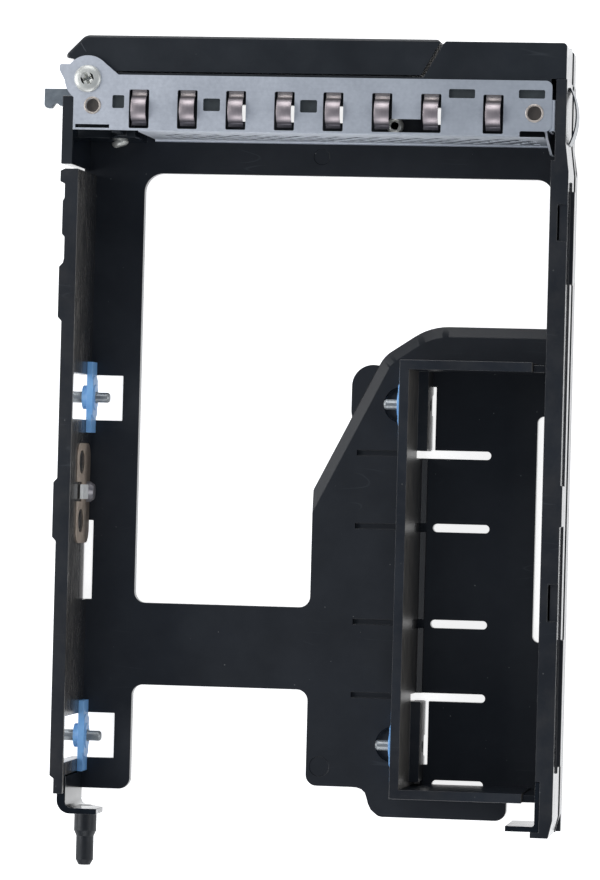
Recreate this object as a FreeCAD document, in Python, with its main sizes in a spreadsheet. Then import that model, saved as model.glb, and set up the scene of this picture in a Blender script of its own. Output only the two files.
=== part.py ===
import FreeCAD, Part
import math
import os
import Sketcher

# Hot-swap drive carrier: a moulded tray with two side rails, a steel shield and a swinging lever
# at the front, and a bracket that narrows the bay to a 2.5-inch drive.
# Frame: +Z up, -Y to the front (the lever), +X to the lever's pivot. The origin is on the tray's
# underside, midway between the rails, at the front end of the drive bay. Lengths are millimetres.

Vector = FreeCAD.Vector
doc = FreeCAD.newDocument("drive_carrier")
sheet = doc.addObject("Spreadsheet::Sheet", "sizes")

DRIVING_SIZES = {
    # Tray and rails
    "overall_width": 112.2,         # across the outer faces of the two rails
    "floor_thickness": 2.5,
    "rail_top": 26.0,               # height of the rails, the lever and the end cap
    "pivot_wall": 2.9,              # wall of the rail on the lever's pivot side
    "latch_wall": 4.0,              # wall of the rail on the latch side
    "rail_web": 1.3,                # what a cored-out rail keeps of its wall
    "rail_flange": 3.2,             # full-width bands along the rail's top and foot
    "pivot_rail_start": 5.1,
    "rail_past_pin": 12.05,         # pivot rail behind the rear drive pin
    "rail_past_bracket": 7.5,       # latch rail behind the bracket
    "rail_relief": 0.8,             # how far the latch rail is thinned beside the shield, each face
    "guide_bulge": 0.95,            # how far the guide pads stand out of the pivot rail
    "latch_rib": 0.4,               # the long runner on the latch rail
    "latch_pad": 1.0,               # the thicker pads on that runner
    # Floor plan
    "band_rear": 4.4,               # rear edge of the front cross band
    "side_band": 14.0,              # width of the floor band along the pivot rail
    "bar_front": 101.9,             # cross bar
    "bar_rear": 120.5,
    "front_relief": 10.4,           # corner left out of the floor under the lever's pivot
    "apron_front": 8.2,             # adapter floor ahead of and behind the bracket
    "apron_rear": 5.7,
    "tail_inset": 9.2,              # steps in the adapter floor's rear edge
    "tail_slant": 7.6,
    "tail_rise": 6.5,
    "heel_inset": 8.35,
    "heel_rise": 4.45,
    "adapter_edge": 1.85,           # its free side edge
    "shoulder_y": 75.3,             # where the slanted edge starts
    "shoulder_run": 15.4,           # slant, across
    "shoulder_rise": 30.6,          # slant, along
    "corner_small": 2.5,
    "corner_large": 4.3,
    "window_corner": 3.6,
    "nose_run": 10.35,              # slope ahead of the slanted edge
    "nose_round": 14.0,
    "nose_corner": 7.0,
    "edge_slope": 2.5,              # sloping band along the slanted edge, and its drop
    "edge_drop": 1.0,
    "vent_width": 3.8,              # vents in the front cross band
    "vent_front": 11.5,
    "vent_rear": 7.7,
    # Drive seat
    "drive_width": 69.85,
    "pin_spacing": 76.6,
    "rear_pin": 132.25,
    "pin_height": 5.6,
    "pin_diameter": 2.3,
    "pin_reach": 3.6,
    "pin_shoulder": 0.15,           # how much thicker a pin is where its pad holds it
    "pin_root": 3.8,                # how far a pin reaches behind its pad
    "press_gap": 0.02,              # between a fixed pin or screw and its hole
    "pin_window": 10.2,             # window behind each pin
    "pin_window_depth": 10.15,      # how far that window runs into the floor
    "pad_length": 16.0,
    "pad_height": 6.0,
    "pad_plate": 1.25,              # thickness of the pads on the pivot rail
    "pad_ring": 0.25,               # height of each step on a pad, and the steps' radii
    "pad_disc": 4.9,
    "pad_boss": 2.85,
    "pad_collar": 1.2,              # what a pad's collar reaches behind it
    "pad_collar_radius": 2.7,
    # Adapter bracket
    "bracket_top": 25.5,
    "bracket_length": 96.9,
    "bracket_shift": 0.5,           # its middle, behind the middle of the drive pins
    "bracket_wall": 2.1,
    "bracket_draft": 1.0,
    "bracket_wing": 2.1,
    "bracket_stand_off": 1.95,      # from the drive pad's face to the bracket's wall
    "slot_width": 1.85,
    "slot_inner": 10.8,             # slots either side of the bracket's middle
    "slot_middle": 27.3,
    "slot_outer": 46.85,
    "slot_end": 38.4,
    "seam_width": 0.85,             # gap at the foot of the bracket
    # Front
    "bezel_front": 24.75,           # front face, ahead of the bay
    "cap_setback": 0.4,             # how far the end cap lies behind the lever's face
    "bezel_depth": 8.35,
    "bezel_shell": 1.8,
    "frame_wall": 1.6,
    "lever_end_gap": 0.6,
    "lever_split": 22.9,            # rear corner of the lever's free end
    "lever_split_slant": 4.2,
    "pivot_inset": 4.6,             # pivot, in from the rail's outer face
    "pivot_y": 14.9,                # pivot, ahead of the bay
    "pivot_shank": 3.0,
    "pivot_eye": 4.8,               # radius of the lever's eye
    "pivot_head": 6.1,
    "pivot_head_rise": 1.05,
    "running_gap": 0.05,            # round the pivot
    "part_gap": 0.3,                # between moving neighbours
    "claw_height": 17.0,
    "claw_thickness": 2.0,
    "claw_reach": 12.7,
    # Shield
    "sheet_steel": 0.6,
    "shield_front": 15.9,
    "shield_rear": 2.4,
    "shield_edge_inset": 1.5,       # pivot-side edge, in from the rail's outer face
    "shield_gusset": 1.0,           # gap between the shield's gusset and the latch rail
    "foot_bend": 0.4,               # inner radius at the shield's foot
    "shield_fold_inset": 16.2,      # pivot-side end of the folded rear face, in from the rail
    "shield_ear": 5.2,
    "finger_pitch": 10.87,
    "finger_first": 39.8,
    "finger_width": 3.3,
    "finger_rise": 2.3,
    "finger_sheet": 0.25,
    "window_width": 4.5,
    "window_front": 12.65,
    "window_rear": 4.05,
    "punch_corner": 0.35,           # corner radius of the punched openings
    "mesh_cell": 3.4,               # honeycomb across flats
    "mesh_web": 1.1,
    "small_screw": 2.5,             # the two small screws behind the lever
    "small_screw_head": 3.9,
    "floor_screw_x": -14.8,
    "floor_screw_y": 7.2,
    "corner_screw_x": 47.4,
    # Rear
    "guide_inset": 5.9,             # guide pin, in from the rail's outer face
    "guide_height": 12.5,
    "guide_diameter": 5.05,
    "guide_tip_diameter": 3.95,
    "guide_shoulder": 4.35,
    "guide_step": 1.25,
    "guide_length": 12.1,           # from the bracket's rear face to the tip
    "guide_point": 1.2,
    "guide_tab": 1.25,              # thickness across and along the bracket
    "guide_leg": 1.95,
    "guide_stand_off": 3.25,        # tab's front face, behind the rail's end
    # Latch
    "button_width": 15.0,
    "button_height": 10.0,
    "button_inset": 14.6,           # button's middle, in from the rail's outer face
    "button_travel": 1.5,
    "light_pipe": 1.4,
}


class Size:
    """A length worked out from the sheet: its expression and its present number."""

    def __init__(self, text, number):
        self.text = text
        self.number = number

    def __add__(self, other):
        other = size(other)
        return Size(f"({self.text} + {other.text})", self.number + other.number)

    def __sub__(self, other):
        other = size(other)
        return Size(f"({self.text} - {other.text})", self.number - other.number)

    def __mul__(self, other):
        other = size(other)
        return Size(f"({self.text} * {other.text})", self.number * other.number)

    def __truediv__(self, other):
        other = size(other)
        return Size(f"({self.text} / {other.text})", self.number / other.number)

    def __neg__(self):
        return Size(f"(0 - {self.text})", -self.number)

    def __radd__(self, other):
        return size(other) + self

    def __rsub__(self, other):
        return size(other) - self

    def __rmul__(self, other):
        return size(other) * self


def size(thing):
    """A plain number as a Size; a Size as it is."""
    if isinstance(thing, Size):
        return thing
    return Size(repr(float(thing)), float(thing))


class Driving:
    """The sheet's cells, each under its own name."""


d = Driving()
for row, (name, number) in enumerate(DRIVING_SIZES.items(), 1):
    sheet.set(f"A{row}", name)
    sheet.set(f"B{row}", str(number))
    sheet.setAlias(f"B{row}", name)
    setattr(d, name, Size(f"sizes.{name}", float(number)))
doc.recompute()

nodes = []


# ---- Small tools of the bench -----------------------------------------------------------------

TURNS = {
    "z": FreeCAD.Rotation(),
    "x": FreeCAD.Rotation(Vector(0, 1, 0), 90),
    "y": FreeCAD.Rotation(Vector(1, 0, 0), -90),
}


def place(thing, corner):
    """Bind a thing's position to the sheet."""
    for axis, value in zip("xyz", corner):
        thing.setExpression(f"Placement.Base.{axis}", size(value).text)


def block(name, low, high):
    """A rectangular block between its lowest and highest corners."""
    solid = doc.addObject("Part::Box", name)
    for side, start, end in zip(("Length", "Width", "Height"), low, high):
        solid.setExpression(side, (size(end) - start).text)
    place(solid, low)
    return solid


def rod(name, start, radius, length, along="z"):
    """A cylinder that starts at a point and runs along an axis."""
    solid = doc.addObject("Part::Cylinder", name)
    solid.Placement = FreeCAD.Placement(Vector(), TURNS[along])
    solid.setExpression("Radius", size(radius).text)
    solid.setExpression("Height", size(length).text)
    place(solid, start)
    return solid


def taper(name, start, radius, end_radius, length, along="z"):
    """A cone that starts at a point and runs along an axis."""
    solid = doc.addObject("Part::Cone", name)
    solid.Placement = FreeCAD.Placement(Vector(), TURNS[along])
    solid.setExpression("Radius1", size(radius).text)
    solid.setExpression("Radius2", size(end_radius).text)
    solid.setExpression("Height", size(length).text)
    place(solid, start)
    return solid


def join(name, solids):
    """Several solids made one."""
    solid = doc.addObject("Part::MultiFuse", name)
    solid.Shapes = solids
    solid.Refine = True
    return solid


def cut(name, base, tools):
    """A solid with tools cut out of it."""
    tool = tools[0] if len(tools) == 1 else join(f"{name}_tools", tools)
    solid = doc.addObject("Part::Cut", name)
    solid.Base = base
    solid.Tool = tool
    solid.Refine = True
    return solid


def common(name, base, tool):
    """What two solids share."""
    solid = doc.addObject("Part::Common", name)
    solid.Base = base
    solid.Tool = tool
    solid.Refine = True
    return solid


def slot(name, low, high, height, depth, along="x"):
    """A round-ended cutter: low and high are the corners of its outline in plan."""
    if along == "x":
        radius = (size(high[1]) - low[1]) / 2
        middle = [(low[0] + radius, low[1]), (high[0] - radius, high[1])]
        ends = [(low[0] + radius, low[1] + radius), (high[0] - radius, low[1] + radius)]
    else:
        radius = (size(high[0]) - low[0]) / 2
        middle = [(low[0], low[1] + radius), (high[0], high[1] - radius)]
        ends = [(low[0] + radius, low[1] + radius), (low[0] + radius, high[1] - radius)]
    solids = [block(f"{name}_middle", (*middle[0], height), (*middle[1], height + depth))]
    for number, end in enumerate(ends):
        solids.append(rod(f"{name}_end{number}", (*end, height), radius, depth))
    return join(name, solids)


def new_body(name):
    """An empty PartDesign body."""
    return doc.addObject("PartDesign::Body", name)


def new_sketch(body, name, plane, offset=0):
    """A sketch on one of the body's own origin planes, moved along its normal."""
    drawing = body.newObject("Sketcher::SketchObject", name)
    planes = [item for item in body.Origin.OriginFeatures if item.Role == plane]
    drawing.AttachmentSupport = [(planes[0], "")]
    drawing.MapMode = "FlatFace"
    drawing.setExpression("AttachmentOffset.Base.z", size(offset).text)
    return drawing


def draw_outline(drawing, points):
    """A closed chain of lines; every corner is bound to the sheet."""
    corners = [(size(x), size(y)) for x, y in points]
    first = drawing.GeometryCount
    count = len(corners)
    lines = []
    for number in range(count):
        start = corners[number]
        end = corners[(number + 1) % count]
        lines.append(Part.LineSegment(
            Vector(start[0].number, start[1].number, 0), Vector(end[0].number, end[1].number, 0)))
    drawing.addGeometry(lines, False)
    rules = []
    for number in range(count):
        rules.append(Sketcher.Constraint(
            "Coincident", first + number, 2, first + (number + 1) % count, 1))
    texts = {}
    for number, corner in enumerate(corners):
        for kind, value in zip(("DistanceX", "DistanceY"), corner):
            texts[drawing.ConstraintCount + len(rules)] = value.text
            rules.append(Sketcher.Constraint(kind, -1, 1, first + number, 1, value.number))
    drawing.addConstraint(rules)
    for number, text in texts.items():
        drawing.setExpression(f"Constraints[{number}]", text)


def draw_circle(drawing, centre, radius):
    """A circle bound to the sheet."""
    x, y = size(centre[0]), size(centre[1])
    radius = size(radius)
    number = drawing.addGeometry(
        Part.Circle(Vector(x.number, y.number, 0), Vector(0, 0, 1), radius.number), False)
    for kind, value in (("DistanceX", x), ("DistanceY", y)):
        rule = drawing.addConstraint(Sketcher.Constraint(kind, -1, 1, number, 3, value.number))
        drawing.setExpression(f"Constraints[{rule}]", value.text)
    rule = drawing.addConstraint(Sketcher.Constraint("Radius", number, radius.number))
    drawing.setExpression(f"Constraints[{rule}]", radius.text)


def pad(body, drawing, length):
    """Thicken a sketch along its normal."""
    feature = body.newObject("PartDesign::Pad", f"{drawing.Name}_pad")
    feature.Profile = drawing
    feature.setExpression("Length", size(length).text)
    return feature


def pocket(body, drawing, length):
    """Cut a sketch out of the body, along its normal's far side."""
    feature = body.newObject("PartDesign::Pocket", f"{drawing.Name}_pocket")
    feature.Profile = drawing
    feature.setExpression("Length", size(length).text)
    return feature


def edges_at(shape, spots, axes="xy", direction=None):
    """Names of the straight edges whose middles lie at the given spots."""
    names = []
    index = ["xyz".index(axis) for axis in axes]
    for number, edge in enumerate(shape.Edges, 1):
        middle = edge.CenterOfMass
        if direction is not None:
            if len(edge.Vertexes) != 2:
                continue
            run = (edge.Vertexes[1].Point - edge.Vertexes[0].Point).normalize()
            if abs(run.dot(direction)) < 0.999:
                continue
        for spot in spots:
            near = [abs(middle[axis] - size(value).number) for axis, value in zip(index, spot)]
            if max(near) < 0.05:
                names.append(f"Edge{number}")
                break
    return names


def round_corners(body, name, base, spots, radius):
    """Fillet the upright edges that stand at the given places in plan."""
    doc.recompute()
    feature = body.newObject("PartDesign::Fillet", name)
    feature.Base = (base, edges_at(base.Shape, spots, "xy", Vector(0, 0, 1)))
    feature.setExpression("Radius", size(radius).text)
    return feature


def finish(solid, name):
    """Name a finished sub-part."""
    solid.Label = name
    nodes.append(solid)
    return solid


# ---- Shared places ----------------------------------------------------------------------------

half_width = d.overall_width / 2
pivot_inner = half_width - d.pivot_wall             # inner face of the pivot-side rail
latch_inner = -(half_width - d.latch_wall)          # inner face of the latch-side rail
front_edge = -(d.bezel_front - d.bezel_depth)       # front edge of the tray, behind the lever
pivot_y = -d.pivot_y
front_pin = d.rear_pin - d.pin_spacing
pin_rows = (("front", front_pin), ("rear", d.rear_pin))
pad_face = pivot_inner - d.pad_plate                # drive-side face of the pads on the rail
bracket_pad_face = pad_face - d.drive_width         # drive-side face of the bracket's pads
bracket_face = bracket_pad_face - d.bracket_stand_off
bracket_inner = bracket_face - d.bracket_wall
pin_middle = d.rear_pin - d.pin_spacing / 2
bracket_middle = pin_middle + d.bracket_shift
bracket_front = bracket_middle - d.bracket_length / 2
bracket_rear = bracket_middle + d.bracket_length / 2
slot_rows = []
for spread in (d.slot_inner, d.slot_middle, d.slot_outer):
    slot_rows += [pin_middle - spread, pin_middle + spread]
pivot_rail_end = d.rear_pin + d.rail_past_pin
latch_rail_end = bracket_rear + d.rail_past_bracket
adapter_front = bracket_front - d.apron_front
adapter_rear = bracket_rear + d.apron_rear
tab_leg = d.rail_past_bracket + 3.5                 # leg of the rear tab, along the latch rail
pivot_x = half_width - d.pivot_inset
button_x = -(half_width - d.button_inset)
guide_x = half_width - d.guide_inset
guide_face = pivot_rail_end + d.guide_stand_off     # front face of the tab that holds the pin
guide_leg_side = pivot_inner + 1.65                 # outer face of the guide bracket's leg
guide_leg_start = d.rear_pin + d.pad_length / 2 + d.part_gap
shield_edge = half_width - d.shield_edge_inset
rail_front_side = -(half_width - d.rail_relief)     # outer face of the latch rail beside the shield
lever_top = d.rail_top - 0.1
plate_top = d.rail_top + d.sheet_steel
THROUGH = 1.0                                       # how far a cutter runs past a face
rail_slot_front = d.bar_front - 18.4                # slot in the floor at the pivot rail's foot
rail_slot_rear = d.bar_front - 0.5
rail_slot_side = pivot_inner + 1.1


# ---- Tray -------------------------------------------------------------------------------------
# One moulding: a floor with two large openings, an ear under the lever's pivot, windows behind
# the drive pins, and the slots and grooves that the mould needs at the bracket's foot.

def slanted_edge(shape, middle, height):
    """Name of the straight edge that runs through a place in plan, at a height."""
    spot = Vector(size(middle[0]).number, size(middle[1]).number, size(height).number)
    straight = [(edge.distToShape(Part.Vertex(spot))[0], f"Edge{number}")
                for number, edge in enumerate(shape.Edges, 1) if edge.Curve.TypeId == "Part::GeomLine"]
    return [min(straight)[1]]


def make_tray():
    side_edge = half_width - d.side_band
    body = new_body("tray_floor")
    plan = new_sketch(body, "tray_plan", "XY_Plane")
    slant_end_x = d.adapter_edge - d.shoulder_run
    slant_end_y = d.shoulder_y - d.shoulder_rise
    nose_x = slant_end_x - d.nose_run
    tail_x = d.adapter_edge - d.tail_inset
    tail_low_x = tail_x - d.tail_slant
    tail_y = adapter_rear - d.tail_rise
    heel_x = latch_inner + d.heel_inset
    heel_y = adapter_rear - d.heel_rise
    strip_edge = latch_inner + 1.3          # floor left along the latch rail's foot
    outer = [
        (-half_width, front_edge),
        (half_width - d.front_relief, front_edge),
        (half_width - d.front_relief, pivot_y + d.pivot_eye),
        (half_width, pivot_y + d.pivot_eye),
        (half_width, pivot_rail_end),
        (side_edge, pivot_rail_end),
        (side_edge, d.bar_rear),
        (d.adapter_edge, d.bar_rear),
        (d.adapter_edge, tail_y),
        (tail_x, tail_y),
        (tail_low_x, adapter_rear),
        (heel_x, adapter_rear),
        (heel_x, heel_y),
        (latch_inner + 4.0, heel_y),
        (latch_inner + 4.0, heel_y - 0.5),
        (latch_inner + 2.8, heel_y - 0.5),
        (latch_inner + 2.8, heel_y - 1.5),
        (latch_inner, heel_y - 1.5),
        (latch_inner, latch_rail_end),
        (-half_width, latch_rail_end),
    ]
    draw_outline(plan, outer)
    opening = [
        (side_edge, d.band_rear),
        (side_edge, d.bar_front),
        (d.adapter_edge, d.bar_front),
        (d.adapter_edge, d.shoulder_y),
        (slant_end_x, slant_end_y),
        (nose_x, adapter_front),
        (strip_edge, adapter_front),
        (strip_edge, d.band_rear),
    ]
    draw_outline(plan, opening)
    floor = pad(body, plan, d.floor_thickness)
    small = [outer[5], outer[8], opening[1], opening[2], (side_edge, d.bar_rear),
             (d.adapter_edge, d.bar_rear), outer[10], outer[11]]
    floor = round_corners(body, "small_corners", floor, small, d.corner_small)
    floor = round_corners(body, "large_corner", floor, [opening[0]], d.corner_large)
    floor = round_corners(body, "window_corner_round", floor, [opening[7]], d.window_corner)
    floor = round_corners(body, "nose_corner_round", floor, [opening[4]], d.nose_corner)
    floor = round_corners(body, "nose_run_out", floor, [opening[5]], d.nose_round)
    doc.recompute()
    slope = body.newObject("PartDesign::Chamfer", "slanted_edge_slope")
    middle = ((opening[3][0] + opening[4][0]) / 2, (opening[3][1] + opening[4][1]) / 2)
    slope.Base = (floor, slanted_edge(floor.Shape, middle, d.floor_thickness))
    slope.ChamferType = "Two distances"
    slope.setExpression("Size", d.edge_drop.text)
    slope.setExpression("Size2", d.edge_slope.text)
    floor = slope
    body.Tip = floor
    doc.recompute()

    ear = rod("tray_ear", (pivot_x, pivot_y, 0), d.shield_ear, d.floor_thickness)
    lug_edge = slant_end_x + 7.25
    lug_low = slant_end_y + 2.0
    lug = slot("tray_lug", (lug_edge - 9.8, lug_low), (lug_edge, lug_low + 15.3), 0, 1.4, "y")
    whole = join("tray_blank", [body, ear, lug])

    deep = -THROUGH
    far = d.floor_thickness + 2 * THROUGH
    tools = [
        rod("tray_pivot_hole", (pivot_x, pivot_y, deep), d.pivot_shank / 2 + d.press_gap, far),
        rod("tray_floor_screw_hole", (d.floor_screw_x, -d.floor_screw_y, deep),
            d.small_screw / 2 + d.press_gap, far)]
    for label, y in pin_rows:
        window_edge = half_width - d.pin_window_depth
        tools.append(block(
            f"tray_window_{label}", (window_edge, y - d.pin_window / 2, deep),
            (half_width + THROUGH, y + d.pin_window / 2, far)))
        tools.append(rod(
            f"tray_recess_{label}", (bracket_pad_face, y, d.floor_thickness - 1.2), 4.0, 1.2 + THROUGH))
    for number, y in enumerate(slot_rows):
        low = y - d.slot_width / 2
        high = y + d.slot_width / 2
        starts = (bracket_inner - 3.7, bracket_inner + 1.2, bracket_inner - 4.9)
        start = starts[number // 2]
        tools.append(slot(f"tray_slot{number}", (-d.slot_end, low), (start, high), deep, far))
        if number < 4:
            tools.append(block(
                f"tray_groove{number}", (bracket_face + 1.2, y - 0.65, d.floor_thickness - 0.7),
                (bracket_face + 11.8, y + 0.65, d.floor_thickness + THROUGH)))
    for label, y, inward in (("front", front_pin, 1), ("rear", d.rear_pin, -1)):
        reach = y - inward * 4.2
        joint = slot_rows[2] if inward == 1 else slot_rows[3]
        low, high = (reach, joint) if inward == 1 else (joint, reach)
        seam = bracket_inner - 2.9
        seam_far = seam - d.seam_width
        bulge_radius = 3.5
        tools.append(block(f"tray_seam_{label}", (seam_far, low, deep), (seam, high, far)))
        bulge = rod(f"tray_bulge_round_{label}", (seam + 1.0 - bulge_radius, y, deep), bulge_radius, far)
        keep = block(f"tray_bulge_keep_{label}", (seam_far, y - 4.0, deep), (seam + 2.0, y + 4.0, far))
        tools.append(common(f"tray_bulge_{label}", bulge, keep))
    tools.append(slot(
        "tray_long_slot", (latch_inner + 0.5, pin_middle - 36.4), (latch_inner + 3.4, pin_middle + 14.3),
        deep, far, "y"))
    tools.append(block("tray_rail_slot", (pivot_inner - 1.25, rail_slot_front, deep),
                       (rail_slot_side, rail_slot_rear, far)))
    for number in (0, 1, 2, 4):
        centre = d.finger_first - 19.7 - d.finger_pitch * number
        tools.append(block(
            f"tray_vent{number}", (centre - d.vent_width / 2, -d.vent_front, deep),
            (centre + d.vent_width / 2, -d.vent_rear, far)))
    tools.append(rod("tray_mark_front", (1.7, 0, d.floor_thickness - 0.12), 1.8, THROUGH))
    tools.append(rod("tray_mark_rear", (-1.2, adapter_rear - 10.9, d.floor_thickness - 0.12), 2.25, THROUGH))
    return finish(cut("base_tray", whole, tools), "base_tray")


make_tray()


# ---- Pivot-side rail --------------------------------------------------------------------------
# A moulded side wall on the tray: guide pads outside, windows where the drive pins pass, a core
# pocket along its outside, and a slot at the rear end for the guide bracket's leg.

def make_pivot_rail():
    body = new_body("pivot_rail_wall")
    plan = new_sketch(body, "pivot_rail_plan", "XY_Plane", d.floor_thickness)
    start = d.pivot_rail_start
    edge = half_width + 0.1
    proud = half_width + d.guide_bulge
    profile = [(pivot_inner, start), (edge, start), (proud + 0.2, start + 0.5), (proud + 0.2, start + 2.9),
               (edge, start + 3.4), (edge, start + 6.6), (edge + 0.4, start + 7.2),
               (edge + 0.4, start + 14.6), (edge - 0.2, start + 15.2), (edge - 0.2, start + 20.0)]
    for pad_start, pad_length in ((start + 21.0, 13.0), (front_pin + 18.45, 14.0)):
        profile += [(edge, pad_start), (proud, pad_start + 0.9), (proud, pad_start + pad_length - 0.9),
                    (edge, pad_start + pad_length)]
    profile += [(edge, pivot_rail_end - 4.0), (half_width - 0.8, pivot_rail_end - 3.4),
                (half_width - 0.8, pivot_rail_end), (pivot_inner, pivot_rail_end)]
    draw_outline(plan, profile)
    wall = pad(body, plan, d.rail_top - d.floor_thickness)
    body.Tip = wall

    tools = []
    low = d.floor_thickness + d.rail_flange
    high = d.rail_top - d.rail_flange
    core_face = pivot_inner + d.rail_web
    for number, (near, far) in enumerate((
            (start + 8.0, start + 19.0), (start + 36.0, front_pin - 9.5), (front_pin + 9.5, front_pin + 16.5),
            (front_pin + 34.5, d.rear_pin - 22.0), (d.rear_pin - 20.5, d.rear_pin - 9.5))):
        tools.append(block(f"pivot_core{number}", (core_face, near, low), (proud + THROUGH, far, high)))
    for label, y in pin_rows:
        tools.append(block(
            f"pivot_window_{label}",
            (pivot_inner - THROUGH, y - d.pin_window / 2, d.floor_thickness - THROUGH),
            (proud + THROUGH, y + d.pin_window / 2, d.rail_top - 1.2)))
    tools.append(block(
        "pivot_slit", (pivot_inner - THROUGH, d.bar_front - 14.0, 11.6),
        (proud + THROUGH, d.bar_front - 1.0, 12.3)))
    tools.append(block(
        "pivot_foot_room", (pivot_inner - THROUGH, rail_slot_front, d.floor_thickness - THROUGH),
        (rail_slot_side, rail_slot_rear, d.floor_thickness + 4.5)))
    tools.append(block(
        "pivot_leg_slot", (pivot_inner - THROUGH, guide_leg_start - d.part_gap, d.floor_thickness),
        (guide_leg_side, pivot_rail_end + THROUGH, d.rail_top - 2.0)))
    tools.append(rod(
        "pivot_screw_hole", (pivot_inner - THROUGH, front_pin + 21.4, 6.0), 1.52, 3.3 + THROUGH, "x"))
    return finish(cut("pivot_side_rail", body, tools), "pivot_side_rail")


make_pivot_rail()


# ---- Latch-side rail --------------------------------------------------------------------------
# The thicker wall. Outside it has a runner, and a channel in which the two light pipes lie. The
# top has two shallow panels, and the rear end is chamfered and slotted for the steel tab.

def make_latch_rail():
    body = new_body("latch_rail_wall")
    plan = new_sketch(body, "latch_rail_plan", "XY_Plane", d.floor_thickness)
    end = latch_rail_end
    thinned = latch_inner - d.rail_relief
    profile = [(thinned, front_edge), (thinned, 1.5), (latch_inner, 1.5), (latch_inner, end - 1.3),
               (latch_inner + 0.9, end - 1.3), (latch_inner + 0.9, end), (-half_width + 0.9, end),
               (-half_width, end - 4.0), (-half_width, 4.0), (rail_front_side, -2.3),
               (rail_front_side, front_edge)]
    draw_outline(plan, profile)
    wall = pad(body, plan, d.rail_top - d.floor_thickness)
    body.Tip = wall

    rib_low = d.rail_top - 9.0
    rib_high = d.rail_top - 6.0
    rib = block("latch_rib_bar", (-half_width - d.latch_rib, 6.0, rib_low),
                (-half_width, end - 14.0, rib_high))
    pads = [rib]
    for number, (near, far) in enumerate(((8.0, 28.5), (pin_middle + 13.0, pin_middle + 41.0))):
        pads.append(block(
            f"latch_pad{number}", (-half_width - d.latch_pad, near, rib_low), (-half_width, far, rib_high)))
    pads.append(block(
        "latch_bridge", (-half_width - d.latch_rib, pin_middle - 20.95, rib_high),
        (-half_width, pin_middle - 11.95, d.rail_top)))
    whole = join("latch_blank", [body] + pads)

    channel_depth = d.latch_wall - d.rail_web
    channel_low = d.floor_thickness + 3.6
    channel_high = channel_low + 2 * d.light_pipe + 1.6
    tools = [block(
        "latch_channel", (-half_width - 2 * THROUGH, front_edge - THROUGH, channel_low),
        (-half_width + channel_depth, end + THROUGH, channel_high))]
    for number, near in enumerate((size(11.1), pin_middle + 0.65)):
        tools.append(block(
            f"latch_panel{number}", (-half_width - 2 * THROUGH, near, d.rail_top - 0.5),
            (-half_width + 2.2, near + 8.2, d.rail_top + THROUGH)))
        tools.append(block(
            f"latch_panel_slit{number}", (-half_width + 1.9, near + 0.3, d.rail_top - 6),
            (-half_width + 2.2, near + 7.9, d.rail_top + THROUGH)))
    tools.append(block(
        "latch_tab_slot", (latch_inner - 1.0, end - 1.3 - tab_leg - 0.1, d.floor_thickness + 5.0),
        (latch_inner + THROUGH, end - 1.3, d.rail_top + THROUGH)))
    return finish(cut("latch_side_rail", whole, tools), "latch_side_rail")


make_latch_rail()


# ---- Light pipes ------------------------------------------------------------------------------
# Two clear rods in the latch rail's channel carry the backplane's lamps to the end cap's face.

def make_light_pipes():
    inner = -half_width + d.latch_wall - d.rail_web
    low = d.floor_thickness + 3.6
    for label, lift in (("lower", 0.3), ("upper", 1.3 + d.light_pipe)):
        bar = block(
            f"light_pipe_{label}", (inner - d.light_pipe, -d.bezel_front + 0.3, low + lift),
            (inner, latch_rail_end - 1.0, low + lift + d.light_pipe))
        finish(bar, f"light_pipe_{label}")


make_light_pipes()


# ---- Adapter bracket --------------------------------------------------------------------------
# A moulded wall with a wing at each end, drafted towards its top, with housings behind the pads.

def make_bracket():
    foot = d.floor_thickness
    body = new_body("bracket_wall_body")
    section = new_sketch(body, "bracket_section", "XZ_Plane", -bracket_front)
    draw_outline(section, [
        (bracket_face, foot), (bracket_face, d.bracket_top), (bracket_inner, d.bracket_top),
        (bracket_inner - d.bracket_draft, foot + 1.5), (bracket_inner - d.bracket_draft - 1.3, foot + 1.0),
        (bracket_inner - d.bracket_draft - 1.3, foot)])
    wall = pad(body, section, d.bracket_length)
    wall.Reversed = True
    body.Tip = wall
    wing_end = latch_inner + 3.0
    parts = [body]
    for label, near, inner_side in (("front", bracket_front, 1), ("rear", bracket_rear - d.bracket_wing, -1)):
        far = near + d.bracket_wing
        parts.append(block(
            f"bracket_wing_{label}", (wing_end, near, foot), (bracket_face, far, d.bracket_top)))
        parts.append(block(
            f"bracket_lip_{label}", (latch_inner, near + 0.5, foot), (wing_end, far, d.bracket_top - 4.0)))
    for label, y in pin_rows:
        near = y - 7.7 if label == "front" else y - 10.3
        parts.append(block(
            f"bracket_housing_{label}", (bracket_inner - 2.9, near, foot),
            (bracket_face - 1.0, near + 18.0, d.pin_height + d.pad_height)))
    whole = join("bracket_blank", parts)
    pin_hole = d.pin_diameter / 2 + d.pin_shoulder + d.press_gap
    tools = []
    for label, y in pin_rows:
        tools.append(rod(
            f"bracket_pin_hole_{label}", (bracket_inner - 6.0, y, d.pin_height), pin_hole, 12.0, "x"))
        tools.append(rod(
            f"bracket_collar_seat_{label}", (bracket_face - d.pad_collar - 0.05, y, d.pin_height),
            d.pad_collar_radius + 0.05, d.pad_collar + THROUGH, "x"))
        tools.append(block(
            f"bracket_core_{label}", (bracket_inner - 2.0, y - 3.4, foot - THROUGH),
            (bracket_face - 1.4, y + 3.4, d.pin_height + 4.6)))
    for number, y in enumerate(slot_rows[:4]):
        deep = bracket_face + THROUGH if number in (2, 3) else bracket_inner - 0.6
        tools.append(block(
            f"bracket_notch{number}", (bracket_inner - 6.0, y - d.slot_width / 2, foot - THROUGH),
            (deep, y + d.slot_width / 2, foot + 9.0)))
    return finish(cut("adapter_bracket", whole, tools), "adapter_bracket")


make_bracket()


# ---- Drive pads and pins ----------------------------------------------------------------------
# Four pads of soft plastic, each with a steel pin that goes into the drive's side hole.

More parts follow.
